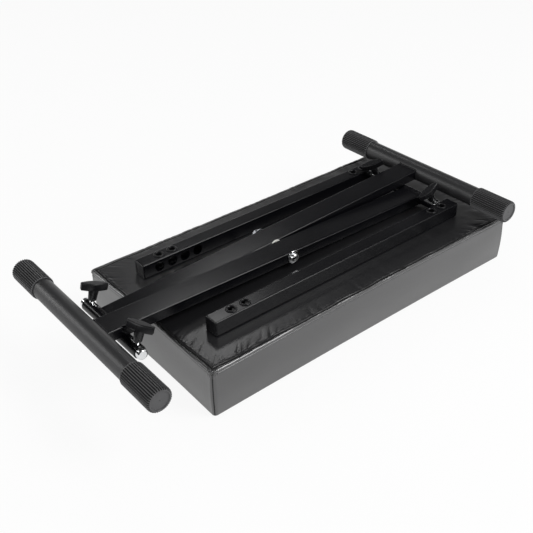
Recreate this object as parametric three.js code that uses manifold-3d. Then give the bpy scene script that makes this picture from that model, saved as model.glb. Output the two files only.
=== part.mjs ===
// A folding keyboard bench, lying folded and upside down on its sitting face.
// Millimetres, +Z up, +X along the seat. The origin is the middle of the sitting face, on the floor.
// Two crossed legs turn on one pivot bolt. The cross tube of leg A hinges in the right ends of the
// two rails, and the cross tube of leg B latches in one of four holes further left, one per height.
import * as THREE from 'three';
import { mergeVertices } from 'three/addons/utils/BufferGeometryUtils.js';
import Module from 'manifold-3d';

const wasm = await Module();
wasm.setup();

// Clearances and overruns
const seatGap = 0.3; // between pieces that touch
const overrun = 5; // how far a cut runs past the face that it leaves

// Seat
const seatLength = 610;
const seatWidth = 320;
const seatThickness = 80;
const seatCornerRadius = 8;
const sittingEdgeRadius = 4;
const rolledEdgeRadius = 6;
const sideDrawIn = 2.5;
const sideCrown = 1.5;
const rimWidth = 9.5;
const rimDip = 0.5;
const boardThickness = 12;
const panelThickness = 1.2;
const panelDip = 0.3; // how far the cover under the seat lies below the crest of its rolled edge

// Rails and the screws that hold them
const railSize = 24;
const railWall = 1.5;
const railCorner = 2;
const railInnerY = 79.5;
const railLeftX = -255;
const railRightX = 245;
const plugFlange = 2;
const plugDepth = 4;
const screwMiddleX = -1;
const screwReach = 206; // from the middle of the pattern to the middle of a pair
const screwPitch = 24;
const screwShankRadius = 3;
const screwHeadRadius = 5.25;
const screwHeadHeight = 3.2;
const screwLength = 13.5;
const accessHoleRadius = 5.6;
const teeFlangeRadius = 8.5;
const teeFlangeThickness = 1.2;
const teeBarrelRadius = 4.4;
const teeBarrelLength = 9;

// Holes for the locking pins
const hingeX = 230;
const latchFirstX = -226;
const latchPitch = 23.4;
const latchCount = 4;

// Legs
const armLength = 293; // from the pivot to the cross tube
const footReach = 41; // from the cross tube of one leg to the foot tube of the other
const legWidth = 40;
const legThickness = 18;
const legWall = 1.5;
const legCorner = 2.5;
const legSpacing = 2;

// Foot tubes and their ribbed caps
const footRadius = 15.9;
const footWall = 1.5;
const footHalfWidth = 186;
const capLength = 65;
const capRadius = 18.3;
const capEndThickness = 4.5;
const capRibs = 34;
const capRibHeight = 1;
const capMouthChamfer = 1.2;
const capCollar = 5;
const capRoundRadius = 3;
const capDiscRadius = 13;
const capDiscDepth = 1.2;

// Cross tubes, locking pins and their T handles
const crossRadius = 9.5;
const crossWall = 1.2;
const crossHalfWidth = 70.5;
const pinLength = 39;
const pinChamfer = 1.5;
const pinClear = 0.5; // between a drawn pin and the rail
const pinThrow = 4.5; // from drawn to locked
const studInset = 18; // from the tip of a pin to its stud
const studRadius = 3;
const studHold = 5; // how deep the stud sits in the pin
const studReach = 13; // how far it reaches into the handle
const slotInner = 46;
const pinStopTravel = 1.5; // from drawn to the stop inside the tube
const pinStopWall = 1.5;
const handleTiltA = THREE.MathUtils.degToRad(-30);
const handleTiltB = THREE.MathUtils.degToRad(20);
const handleBaseRadius = 4.7;
const handleNeckRadius = 6.5;
const handleStem = 18;
const handleHead = 12;
const handleLength = 39;
const handleWidth = 13;
const handleEnd = 5;
const handleEdge = 1.5;
const handleTurns = { a_near: -10, a_far: -40, b_near: -57, b_far: -13 };

// Pivot
const boltRadius = 4;
const boltHeadRadius = 6.5;
const boltHeadHeight = 4.5;
const boltSpare = 2; // thread that shows past the nut
const washerRadius = 10.5;
const washerThickness = 1.5;
const spacerThickness = 1.4;
const nutRadius = 7.5;
const nutHeight = 6.5;
const nutSides = 6;
const sleeveRadius = 6;

// Facets
const roundSteps = 24;
const smallSteps = 14;
const screwSteps = 10;
const cornerSteps = 3;

// Places worked out from the sizes
const halfTurn = Math.PI;
const quarterTurn = halfTurn / 2;
const railMiddleY = railInnerY + railSize / 2;
const railBottomZ = seatThickness;
const hingeZ = railBottomZ + railSize / 2;
const panelTopZ = seatThickness - panelDip;
const panelBottomZ = panelTopZ - panelThickness;
const boardTopZ = panelBottomZ - seatGap;
const boardBottomZ = boardTopZ - boardThickness;
const pinRadius = crossRadius - crossWall - seatGap;
const pinHoleRadius = pinRadius + seatGap;
const studHoleRadius = studRadius + seatGap;
const drawnTip = railInnerY - pinClear;
const lockedTip = drawnTip + pinThrow;
const slotOuter = lockedTip - studInset + studHoleRadius;
const stopHalfWidth = drawnTip - pinLength - pinStopTravel - seatGap;
const handleBase = crossRadius + seatGap;
const legInnerY = legSpacing / 2;
const legMiddleY = legInnerY + legWidth / 2;
const legOuterY = legInnerY + legWidth;
const boltHoleRadius = boltRadius + seatGap;

// Each leg lies on the other one's cross tube when the bench is folded. That gives both angles.
// Past the end of the seat the latching tube hangs lower than the hinge, with its leg on the seat's
// edge. Over the seat it lies on the cover.
const footArm = armLength + footReach;
const foldedStep = crossRadius + legThickness / 2 + seatGap;
const latchOverhang = Math.max(2 * armLength - hingeX - seatLength / 2, 0);
const overhangShare = latchOverhang / (2 * armLength);
const legRise = railSize / 2 - legThickness / 2 - seatGap;
const dropPastSeat = (legRise + overhangShare * foldedStep) / (1 - overhangShare);
const dropOnSeat = railSize / 2 - crossRadius - seatGap;
const latchDrop = latchOverhang > crossRadius + seatGap ? dropPastSeat : dropOnSeat;
const foldedAngleA = Math.asin((foldedStep - latchDrop) / (2 * armLength));
const foldedAngleB = Math.asin((foldedStep + latchDrop) / (2 * armLength));
const pivotX = hingeX - armLength * Math.cos(foldedAngleA);
const pivotZ = hingeZ + armLength * Math.sin(foldedAngleA);

// Finishes
function finish(color, roughness, metalness) {
  return () => new THREE.MeshStandardMaterial({ color, roughness, metalness });
}

const blackVinyl = finish(0x16171a, 0.42, 0);
const plywood = finish(0xb48a5a, 0.7, 0);
const blackSteel = finish(0x15161a, 0.38, 0.1);
const footSteel = finish(0x101115, 0.3, 0.15);
const blackRubber = finish(0x0e0f11, 0.72, 0);
const blackPlastic = finish(0x121316, 0.5, 0);
const brightZinc = finish(0xc9ccd0, 0.28, 1);
const darkZinc = finish(0x6d7074, 0.4, 1);
const whiteNylon = finish(0xd9d9d4, 0.5, 0);

// Solids
function solid(geometry) {
  const bare = geometry.clone();
  bare.deleteAttribute('normal');
  bare.deleteAttribute('uv');
  const merged = mergeVertices(bare);
  const mesh = new wasm.Mesh({
    numProp: 3,
    vertProperties: merged.attributes.position.array,
    triVerts: new Uint32Array(merged.index.array),
  });
  return new wasm.Manifold(mesh);
}

function surface(body) {
  const mesh = body.getMesh();
  const geometry = new THREE.BufferGeometry();
  geometry.setAttribute('position', new THREE.BufferAttribute(mesh.vertProperties, 3));
  geometry.setIndex(new THREE.BufferAttribute(mesh.triVerts, 1));
  geometry.computeVertexNormals();
  return geometry;
}

function cut(body, tools) {
  return tools.reduce((left, tool) => left.subtract(tool), body);
}

function block(sizeX, sizeY, sizeZ, x, y, z) {
  return new THREE.BoxGeometry(sizeX, sizeY, sizeZ).translate(x, y, z);
}

function rodAlongY(radius, fromY, toY, steps = roundSteps) {
  const rod = new THREE.CylinderGeometry(radius, radius, toY - fromY, steps);
  return rod.translate(0, (fromY + toY) / 2, 0);
}

function rodAlongZ(radius, fromZ, toZ, steps = smallSteps) {
  const rod = new THREE.CylinderGeometry(radius, radius, toZ - fromZ, steps).rotateX(quarterTurn);
  return rod.translate(0, 0, (fromZ + toZ) / 2);
}

function hollowAlongY(outer, inner, fromY, toY, steps = roundSteps) {
  const bore = rodAlongY(inner, fromY - overrun, toY + overrun, steps);
  return solid(rodAlongY(outer, fromY, toY, steps)).subtract(solid(bore));
}

function roundedRectangle(width, height, radius) {
  const shape = new THREE.Shape();
  const x = width / 2 - radius;
  const y = height / 2 - radius;
  shape.absarc(x, y, radius, 0, quarterTurn, false);
  shape.absarc(-x, y, radius, quarterTurn, halfTurn, false);
  shape.absarc(-x, -y, radius, halfTurn, halfTurn + quarterTurn, false);
  shape.absarc(x, -y, radius, halfTurn + quarterTurn, 2 * halfTurn, false);
  return shape;
}

function slabAlongZ(width, height, radius, fromZ, toZ) {
  const shape = roundedRectangle(width, height, radius);
  const options = { depth: toZ - fromZ, bevelEnabled: false, curveSegments: cornerSteps };
  return new THREE.ExtrudeGeometry(shape, options).translate(0, 0, fromZ);
}

function barAlongX(sizeY, sizeZ, radius, fromX, toX) {
  return slabAlongZ(sizeZ, sizeY, radius, fromX, toX).rotateY(quarterTurn);
}

// A solid through rings of points. All rings have as many points, and fans close both ends.
function loft(rings) {
  const count = rings[0].length;
  const positions = rings.flat().flatMap((point) => point.toArray());
  const index = [];
  for (let ring = 0; ring + 1 < rings.length; ring += 1) {
    for (let i = 0; i < count; i += 1) {
      const a = ring * count + i;
      const b = ring * count + ((i + 1) % count);
      index.push(a, b, b + count, a, b + count, a + count);
    }
  }
  const last = (rings.length - 1) * count;
  for (let i = 1; i + 1 < count; i += 1) {
    index.push(0, i + 1, i);
    index.push(last, last + i, last + i + 1);
  }
  const geometry = new THREE.BufferGeometry();
  geometry.setAttribute('position', new THREE.Float32BufferAttribute(positions, 3));
  geometry.setIndex(index);
  geometry.computeVertexNormals();
  return geometry;
}

const bench = new THREE.Group();

function add(parent, name, geometry, material) {
  const mesh = new THREE.Mesh(geometry, material());
  mesh.name = name;
  parent.add(mesh);
  return mesh;
}

// Seat: the padded box, the plywood board in it and the cover over the board
const boardLength = seatLength - 2 * rimWidth;
const boardWidth = seatWidth - 2 * rimWidth;
const boardCorner = seatCornerRadius - rimWidth / 2;

// One ring of the padded box. The sides pull in between the corners.
function seatRing(inset, z) {
  const halfLength = seatLength / 2 - inset;
  const halfWidth = seatWidth / 2 - inset;
  const radius = seatCornerRadius;
  const cornerPoints = 4;
  const longPoints = 8;
  const shortPoints = 5;
  const points = [];
  const innerX = halfLength - radius;
  const innerY = halfWidth - radius;
  const walls = [
    { from: [halfLength, -innerY], to: [halfLength, innerY], turn: 0, count: shortPoints },
    { from: [innerX, halfWidth], to: [-innerX, halfWidth], turn: 1, count: longPoints },
    { from: [-halfLength, innerY], to: [-halfLength, -innerY], turn: 2, count: shortPoints },
    { from: [-innerX, -halfWidth], to: [innerX, -halfWidth], turn: 3, count: longPoints },
  ];
  for (const wall of walls) {
    const outward = wall.turn * quarterTurn;
    for (let i = 0; i <= wall.count; i += 1) {
      const share = i / wall.count;
      const drawn = sideDrawIn * Math.sin(halfTurn * share);
      const x = THREE.MathUtils.lerp(wall.from[0], wall.to[0], share) - drawn * Math.cos(outward);
      const y = THREE.MathUtils.lerp(wall.from[1], wall.to[1], share) - drawn * Math.sin(outward);
      points.push(new THREE.Vector3(x, y, z));
    }
    const end = wall.to;
    const centreX = end[0] - radius * Math.cos(outward);
    const centreY = end[1] - radius * Math.sin(outward);
    for (let i = 1; i < cornerPoints; i += 1) {
      const angle = outward + (quarterTurn * i) / cornerPoints;
      const x = centreX + radius * Math.cos(angle);
      const y = centreY + radius * Math.sin(angle);
      points.push(new THREE.Vector3(x, y, z));
    }
  }
  return points;
}

function makeCushion() {
  const rings = [];
  const edgeSteps = 3;
  for (let i = 0; i <= edgeSteps; i += 1) {
    const angle = (quarterTurn * i) / edgeSteps;
    const inset = sideCrown + sittingEdgeRadius * (1 - Math.sin(angle));
    rings.push(seatRing(inset, sittingEdgeRadius * (1 - Math.cos(angle))));
  }
  const wallBottom = sittingEdgeRadius;
  const wallTop = seatThickness - rolledEdgeRadius;
  const wallSteps = 4;
  for (let i = 1; i < wallSteps; i += 1) {
    const share = i / wallSteps;
    const inset = sideCrown * (1 - Math.sin(halfTurn * share));
    rings.push(seatRing(inset, THREE.MathUtils.lerp(wallBottom, wallTop, share)));
  }
  for (let i = 0; i <= edgeSteps; i += 1) {
    const angle = (quarterTurn * i) / edgeSteps;
    const inset = sideCrown + rolledEdgeRadius * (1 - Math.cos(angle));
    rings.push(seatRing(inset, wallTop + rolledEdgeRadius * Math.sin(angle)));
  }
  rings.push(seatRing(rimWidth + rimDip, seatThickness - rimDip));
  const floorZ = boardBottomZ - seatGap;
  const pocket = slabAlongZ(
    boardLength + 2 * seatGap,
    boardWidth + 2 * seatGap,
    boardCorner + seatGap,
    floorZ,
    seatThickness + overrun,
  );
  return solid(loft(rings)).subtract(solid(pocket));
}

const screwPlaces = [];
for (const end of [-1, 1]) {
  for (const place of [-1, 1]) {
    screwPlaces.push(screwMiddleX + end * screwReach + (place * screwPitch) / 2);
  }
}

const sides = { near: -1, far: 1 };

// Upright holes through everything that the seat screws pass, at every screw
function screwHoles(radius, fromZ, toZ, y = railMiddleY) {
  const holes = [];
  for (const side of Object.values(sides)) {
    for (const x of screwPlaces) {
      const hole = rodAlongZ(radius, fromZ, toZ, screwSteps).translate(x, side * y, 0);
      holes.push(solid(hole));
    }
  }
  return holes;
}

const flangeSeatZ = boardBottomZ + teeFlangeThickness + seatGap;

function makeBoard() {
  const slab = solid(slabAlongZ(boardLength, boardWidth, boardCorner, boardBottomZ, boardTopZ));
  const bores = screwHoles(teeBarrelRadius + seatGap, boardBottomZ - overrun, boardTopZ + overrun);
  const flangeSeats = screwHoles(teeFlangeRadius + seatGap, boardBottomZ - overrun, flangeSeatZ);
  return cut(slab, [...bores, ...flangeSeats]);
}

function makePanel() {
  const sheet = solid(slabAlongZ(boardLength, boardWidth, boardCorner, panelBottomZ, panelTopZ));
  const holes = screwHoles(screwShankRadius + seatGap, panelBottomZ - overrun, panelTopZ + overrun);
  return cut(sheet, holes);
}

add(bench, 'seat_cushion', surface(makeCushion()), blackVinyl);
add(bench, 'seat_board', surface(makeBoard()), plywood);
add(bench, 'underside_panel', surface(makePanel()), blackVinyl);

// Rails: square tubes with plugged ends, screwed to the board through the cover
const latchPlaces = Array.from({ length: latchCount }, (_, i) => latchFirstX + i * latchPitch);
const tubeLeftX = railLeftX + plugFlange;
const tubeRightX = railRightX - plugFlange;

function makeRail(side) {
  const bore = railSize - 2 * railWall;
  const outer = solid(barAlongX(railSize, railSize, railCorner, tubeLeftX, tubeRightX));
  const inner = solid(barAlongX(bore, bore, railCorner / 2, tubeLeftX - overrun, tubeRightX + overrun));
  const tube = outer.subtract(inner);
  const holes = [];
  for (const x of screwPlaces) {
    const access = rodAlongZ(accessHoleRadius, 0, railSize, smallSteps).translate(x, 0, 0);
    const shank = rodAlongZ(screwShankRadius + seatGap, -railSize, 0, screwSteps).translate(x, 0, 0);
    holes.push(solid(access), solid(shank));
  }
  for (const x of [...latchPlaces, hingeX]) {
    const reach = -side * railSize;
    const hole = rodAlongY(pinHoleRadius, Math.min(0, reach), Math.max(0, reach));
    holes.push(solid(hole.translate(x, 0, 0)));
  }
  return surface(cut(tube, holes)).translate(0, side * railMiddleY, hingeZ);
}

function makePlug(end) {
  const skirtSize = railSize - 2 * railWall - 2 * seatGap;
  const flange = barAlongX(railSize, railSize, railCorner, 0, plugFlange - seatGap);
  const skirt = barAlongX(skirtSize, skirtSize, railCorner / 2, -plugDepth, plugFlange / 2);
  const hollowSize = skirtSize - 2 * railWall;
  const hollow = block(plugDepth, hollowSize, hollowSize, -plugDepth / 2 - plugFlange / 2, 0, 0);
  const plug = solid(flange).add(solid(skirt)).subtract(solid(hollow));
  const geometry = surface(plug);
  return end < 0 ? geometry.rotateZ(halfTurn) : geometry;
}

function makeScrew() {
  const headBottom = railBottomZ + railWall + seatGap;
  const headTop = headBottom + screwHeadHeight;
  const profile = [
    new THREE.Vector2(0, headBottom - screwLength),
    new THREE.Vector2(screwShankRadius, headBottom - screwLength),
    new THREE.Vector2(screwShankRadius, headBottom),
    new THREE.Vector2(screwHeadRadius, headBottom),
    new THREE.Vector2(screwHeadRadius, headBottom + screwHeadHeight / 2),
    new THREE.Vector2(screwHeadRadius / 2, headTop),
    new THREE.Vector2(0, headTop),
  ];
  return new THREE.LatheGeometry(profile, screwSteps).rotateX(quarterTurn);
}

function makeTeeNut() {
  const flangeBottom = boardBottomZ;
  const flange = rodAlongZ(teeFlangeRadius, flangeBottom, flangeBottom + teeFlangeThickness, screwSteps);
  const barrel = rodAlongZ(teeBarrelRadius, flangeBottom, flangeBottom + teeBarrelLength, screwSteps);
  const bore = rodAlongZ(
    screwShankRadius + seatGap,
    flangeBottom - overrun,
    flangeBottom + teeBarrelLength + overrun,
    screwSteps,
  );
  return surface(solid(flange).add(solid(barrel)).subtract(solid(bore)));
}

for (const [sideName, side] of Object.entries(sides)) {
  add(bench, `rail_${sideName}`, makeRail(side), blackSteel);
  for (const [endName, end] of [['left', -1], ['right', 1]]) {
    const plug = add(bench, `rail_plug_${sideName}_${endName}`, makePlug(end), blackPlastic);
    const tubeEnd = end < 0 ? tubeLeftX : tubeRightX;
    plug.position.set(tubeEnd + end * seatGap, side * railMiddleY, hingeZ);
  }
  screwPlaces.forEach((x, i) => {
    const screw = add(bench, `seat_screw_${sideName}_${i + 1}`, makeScrew(), darkZinc);
    screw.position.set(x, side * railMiddleY, 0);
    const nut = add(bench, `tee_nut_${sideName}_${i + 1}`, makeTeeNut(), brightZinc);
    nut.position.set(x, side * railMiddleY, 0);
  });
}

// Legs: each has a rectangular tube between its cross tube and its foot tube, in a frame at the pivot
const legs = {
  a: { toCross: 1, angle: foldedAngleA, y: -legMiddleY, tilt: handleTiltA, tip: lockedTip },
  b: { toCross: -1, angle: -foldedAngleB, y: legMiddleY, tilt: handleTiltB, tip: drawnTip },
};

function makeLegTube(leg) {
  const crossX = leg.toCross * armLength;
  const footX = -leg.toCross * footArm;
  const fromX = Math.min(crossX, footX);
  const toX = Math.max(crossX, footX);
  const boreWidth = legWidth - 2 * legWall;
  const boreThickness = legThickness - 2 * legWall;
  const outer = barAlongX(legWidth, legThickness, legCorner, fromX, toX);
  const inner = barAlongX(boreWidth, boreThickness, legCorner / 2, fromX - overrun, toX + overrun);
  const cope = rodAlongY(crossRadius + seatGap, -legWidth, legWidth);
  const footCope = rodAlongY(footRadius + seatGap, -legWidth, legWidth);
  const boltHole = rodAlongY(boltHoleRadius, -legWidth, legWidth, smallSteps);
  const tools = [
    solid(inner),
    solid(cope.translate(crossX, 0, 0)),
    solid(footCope.translate(footX, 0, 0)),
    solid(boltHole),
  ];
  return surface(cut(solid(outer), tools)).translate(0, leg.y, 0);
}

function makeCrossTube(leg) {
  const tube = hollowAlongY(crossRadius, crossRadius - crossWall, -crossHalfWidth, crossHalfWidth);
  const slots = [];
  for (const side of Object.values(sides)) {
    const innerY = slotInner + studHoleRadius;
    const outerY = slotOuter - studHoleRadius;
    const middleY = (side * (innerY + outerY)) / 2;
    const depth = crossRadius + overrun;
    const slot = [
      block(2 * studHoleRadius, outerY - innerY, depth, 0, middleY, depth / 2),
      rodAlongZ(studHoleRadius, 0, depth).translate(0, side * innerY, 0),
      rodAlongZ(studHoleRadius, 0, depth).translate(0, side * outerY, 0),
    ];
    slots.push(...slot.map((piece) => solid(piece.rotateY(leg.tilt))));
  }
  return surface(cut(tube, slots));
}

// Foot caps: ribbed rubber sleeves with a rounded end and a shallow round recess in it
function capRing(y, radius, ribHeight) {
  const count = 2 * capRibs;
  return Array.from({ length: count }, (_, i) => {
    const angle = (2 * halfTurn * i) / count;
    const r = i % 2 === 0 ? radius : radius - ribHeight;
    return new THREE.Vector3(r * Math.sin(angle), y, r * Math.cos(angle));
  });
}

function makeCap(side) {
  const mouthY = footHalfWidth - capLength;
  const plainRadius = capRadius - capRibHeight / 2;
  const roundY = footHalfWidth - capRoundRadius;
  const rings = [
    capRing(mouthY, capRadius - capMouthChamfer, 0),
    capRing(mouthY + capMouthChamfer, capRadius, capRibHeight),
    capRing(footHalfWidth - capCollar, capRadius, capRibHeight),
    capRing(roundY, plainRadius, 0),
    capRing(footHalfWidth, plainRadius - capRoundRadius, 0),
    capRing(footHalfWidth, capDiscRadius, 0),
    capRing(footHalfWidth - capDiscDepth, capDiscRadius, 0),
  ];
  const bore = rodAlongY(footRadius + seatGap, mouthY - overrun, footHalfWidth - capEndThickness);
  const geometry = surface(solid(loft(rings)).subtract(solid(bore)));
  return side < 0 ? geometry.rotateZ(halfTurn) : geometry;
}

// Locking pins and their handles. A stud joins each handle to its pin through the slot.
function makePin(side, tip, tilt) {
  const profile = [
    new THREE.Vector2(0, tip - pinLength),
    new THREE.Vector2(pinRadius, tip - pinLength),
    new THREE.Vector2(pinRadius, tip - pinChamfer),
    new THREE.Vector2(pinRadius - pinChamfer, tip),
    new THREE.Vector2(0, tip),
  ];
  const body = new THREE.LatheGeometry(profile, roundSteps);
  if (side < 0) {
    body.rotateX(halfTurn);
  }
  const hole = rodAlongZ(studHoleRadius, pinRadius - studHold, pinRadius + overrun);
  hole.translate(0, side * (tip - studInset), 0).rotateY(tilt);
  return surface(solid(body).subtract(solid(hole)));
}

function makeStud() {
  return rodAlongZ(studRadius, pinRadius - studHold + seatGap, handleBase + studReach);
}

function makeHandle() {
  const stemTop = handleBase + handleStem;
  const stemProfile = [
    new THREE.Vector2(0, handleBase),
    new THREE.Vector2(handleBaseRadius, handleBase),
    new THREE.Vector2(handleNeckRadius - handleEdge / 2, stemTop),
    new THREE.Vector2(handleNeckRadius - handleEdge / 2, stemTop + handleHead / 2),
    new THREE.Vector2(0, stemTop + handleHead / 2),
  ];
  const stem = new THREE.LatheGeometry(stemProfile, smallSteps).rotateX(quarterTurn);
  const halfLength = handleLength / 2;
  const halfEnd = handleEnd / 2;
  const bow = handleWidth - halfEnd;
  const outline = new THREE.Shape();
  outline.moveTo(-halfLength, -halfEnd);
  outline.quadraticCurveTo(0, -bow, halfLength, -halfEnd);
  outline.lineTo(halfLength, halfEnd);
  outline.quadraticCurveTo(0, bow, -halfLength, halfEnd);
  outline.closePath();
  const head = new THREE.ExtrudeGeometry(outline, {
    depth: handleHead - 2 * handleEdge,
    bevelThickness: handleEdge,
    bevelSize: handleEdge,
    bevelOffset: -handleEdge,
    bevelSegments: 1,
    curveSegments: cornerSteps * 2,
  });
  head.translate(0, 0, stemTop + handleEdge);
  const bore = rodAlongZ(studHoleRadius, handleBase - overrun, handleBase + studReach + seatGap);
  return surface(solid(stem).add(solid(head)).subtract(solid(bore)));
}

// Pivot: a domed bolt with washers and a nut, a spacer between the legs and a sleeve in each leg
function makePivot(group) {
  const washerY = legOuterY + seatGap;
  const outerY = washerY + washerThickness + seatGap;
  const nutY = outerY + nutHeight;
  const profile = [
    new THREE.Vector2(0, -outerY - boltHeadHeight),
    new THREE.Vector2(boltHeadRadius / 2, -outerY - boltHeadHeight),
    new THREE.Vector2(boltHeadRadius, -outerY - boltHeadHeight / 3),
    new THREE.Vector2(boltHeadRadius, -outerY),
    new THREE.Vector2(boltRadius, -outerY),
    new THREE.Vector2(boltRadius, nutY + boltSpare),
    new THREE.Vector2(0, nutY + boltSpare),
  ];
  add(group, 'pivot_bolt', new THREE.LatheGeometry(profile, smallSteps), brightZinc);
  function washer(fromY, thickness) {
    return surface(hollowAlongY(washerRadius, boltHoleRadius, fromY, fromY + thickness, smallSteps));
  }
  const nutBody = new THREE.CylinderGeometry(nutRadius, nutRadius, nutHeight, nutSides);
  nutBody.translate(0, outerY + nutHeight / 2, 0);
  const nutBore = rodAlongY(boltHoleRadius, legOuterY, nutY + overrun, smallSteps);
  const nearWasher = washer(-washerY - washerThickness, washerThickness);
  add(group, 'pivot_washer_near', nearWasher, brightZinc);
  add(group, 'pivot_washer_far', washer(washerY, washerThickness), brightZinc);
  add(group, 'pivot_spacer', washer(-spacerThickness / 2, spacerThickness), whiteNylon);
  add(group, 'pivot_nut', surface(solid(nutBody).subtract(solid(nutBore))), brightZinc);
}

function makeSleeve(leg) {
  const halfSleeve = legWidth / 2 - legWall - seatGap;
  const fromY = leg.y - halfSleeve;
  const toY = leg.y + halfSleeve;
  return surface(hollowAlongY(sleeveRadius, boltHoleRadius, fromY, toY, smallSteps));
}

for (const [legName, leg] of Object.entries(legs)) {
  const group = new THREE.Group();
  group.position.set(pivotX, 0, pivotZ);
  group.rotation.y = leg.angle;
  bench.add(group);
  add(group, `leg_${legName}_tube`, makeLegTube(leg), blackSteel);
  add(group, `pivot_sleeve_${legName}`, makeSleeve(leg), darkZinc);

  const cross = new THREE.Group();
  cross.position.x = leg.toCross * armLength;
  group.add(cross);
  add(cross, `leg_${legName}_cross_tube`, makeCrossTube(leg), blackSteel);
  const stopBore = pinRadius - pinStopWall;
  const stop = hollowAlongY(pinRadius, stopBore, -stopHalfWidth, stopHalfWidth, smallSteps);
  add(cross, `leg_${legName}_pin_stop`, surface(stop), darkZinc);

  const foot = new THREE.Group();
  foot.position.x = -leg.toCross * footArm;
  group.add(foot);
  const footEnd = footHalfWidth - capEndThickness - seatGap;
  const footTube = hollowAlongY(footRadius, footRadius - footWall, -footEnd, footEnd);
  add(foot, `leg_${legName}_foot_tube`, surface(footTube), footSteel);

  for (const [sideName, side] of Object.entries(sides)) {
    const place = `${legName}_${sideName}`;
    add(foot, `leg_${legName}_cap_${sideName}`, makeCap(side), blackRubber);
    add(cross, `pin_${place}`, makePin(side, leg.tip, leg.tilt), brightZinc);
    const knob = new THREE.Group();
    knob.position.y = side * (leg.tip - studInset);
    knob.rotation.y = leg.tilt;
    cross.add(knob);
    add(knob, `stud_${place}`, makeStud(), brightZinc);
    const handle = add(knob, `handle_${place}`, makeHandle(), blackPlastic);
    handle.rotation.z = THREE.MathUtils.degToRad(handleTurns[place]);
  }
  if (legName === 'a') {
    makePivot(group);
  }
}

export default bench;
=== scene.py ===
# %% [markdown]
# # A folding keyboard bench, folded flat and lying on its seat
#
# The bench is a padded seat on a scissor frame of steel tube. Here it lies upside down, so the
# cover under the seat, the two rails and the crossed legs are on top.
# The solids of every piece are already made elsewhere, in this same frame: metres, Z up, X along
# the seat, with the origin in the middle of the sitting face. This lesson dresses them. Pieces
# that show get a finer mesh in the same place, and every finish is made of shader nodes.

import math

import bmesh
import bpy
import numpy as np
from mathutils import Matrix, Vector, noise
from mathutils.kdtree import KDTree


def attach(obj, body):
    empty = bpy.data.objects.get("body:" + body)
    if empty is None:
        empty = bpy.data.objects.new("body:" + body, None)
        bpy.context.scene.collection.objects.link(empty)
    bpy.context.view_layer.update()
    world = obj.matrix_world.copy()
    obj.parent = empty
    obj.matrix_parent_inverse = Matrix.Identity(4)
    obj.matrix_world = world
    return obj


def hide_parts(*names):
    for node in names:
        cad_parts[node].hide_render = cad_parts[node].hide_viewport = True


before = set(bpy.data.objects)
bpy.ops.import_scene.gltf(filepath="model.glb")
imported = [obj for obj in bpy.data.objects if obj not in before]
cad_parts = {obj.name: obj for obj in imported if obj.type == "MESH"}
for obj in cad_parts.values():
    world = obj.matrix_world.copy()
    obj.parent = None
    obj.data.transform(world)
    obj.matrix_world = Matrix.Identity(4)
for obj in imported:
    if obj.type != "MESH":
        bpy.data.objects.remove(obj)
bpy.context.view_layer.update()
mm = 0.001

# %% [markdown]
# ## The camera
#
# A straight-on guess of a camera never quite matches. This one was fitted together with the main
# sizes of the bench, from sixty readings of corners, edges and tube ends in the picture, which give
# 76 numbers. It meets half of these within 0.7 pixels. The soft corners of the seat, read as if
# they were sharp, it misses by up to 7. A camera looks along its own -Z with +Y up, so its turn is
# a matrix whose columns are its right, its up and its backward directions.

# %% Camera
camera_place = Vector((-0.75000, -0.83836, 0.78464))
camera_right = Vector((0.774172, -0.632692, -0.018920))
camera_up = Vector((0.363771, 0.420257, 0.831297))
camera_back = camera_right.cross(camera_up)
camera_lens = 55.7

camera = bpy.data.objects.new("camera", bpy.data.cameras.new("camera"))
bpy.context.scene.collection.objects.link(camera)
camera.data.lens = camera_lens
camera.data.sensor_width = 36
camera.data.clip_start = 0.01
camera_turn = Matrix((camera_right, camera_up, camera_back)).transposed()
camera.matrix_world = Matrix.Translation(camera_place) @ camera_turn.to_4x4()
bpy.context.scene.camera = camera
print("camera looks down by", round(math.degrees(math.asin(camera_back.z)), 1), "degrees")

# %% [markdown]
# ## Sizes
#
# The sizes repeat those of the solids. The angles of the two folded legs follow from one fact:
# each leg lies on the other leg's cross tube. The cutter of a bore runs past its piece by the
# overrun, so that it leaves no skin at the ends.

# %% Sizes of the seat and the rails
gap, overrun = 0.3 * mm, 5 * mm
seat_length, seat_width, seat_thickness = 610 * mm, 320 * mm, 80 * mm
seat_corner = 8 * mm
cover_z, board_top = 79.7 * mm, 78.2 * mm
rail_size, rail_wall, rail_corner = 24 * mm, 1.5 * mm, 2 * mm
rail_left, rail_right = -253 * mm, 243 * mm
rail_y = 91.5 * mm
rail_z = seat_thickness + rail_size / 2
screw_x = [-219 * mm, -195 * mm, 193 * mm, 217 * mm]
hinge_x = 230 * mm
latch_x = [-226 * mm, -202.6 * mm, -179.2 * mm, -155.8 * mm]
latch_radius, access_radius = 8.3 * mm, 5.6 * mm

# %% Sizes of the legs
arm, foot_arm = 293 * mm, 334 * mm
leg_width, leg_thickness, leg_wall, leg_corner = 40 * mm, 18 * mm, 1.5 * mm, 2.5 * mm
leg_y = 21 * mm
cross_radius, cross_wall, cross_half = 9.5 * mm, 1.2 * mm, 70.5 * mm
foot_radius, foot_wall, foot_half = 15.9 * mm, 1.5 * mm, 186 * mm
cap_radius, cap_length, cap_floor = 18.3 * mm, 65 * mm, 4.5 * mm
pin_radius, pin_length = 8 * mm, 39 * mm
stud_inset = 18 * mm
slot_from, slot_to, slot_radius = 46 * mm, 68.8 * mm, 3.3 * mm
bolt_radius, bolt_hole_radius = 4 * mm, 4.3 * mm
handle_length, handle_width, handle_end = 39 * mm, 13.4 * mm, 5 * mm
handle_lift = 18 * mm
drawn_tip, locked_tip = 79 * mm, 83.5 * mm

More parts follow.
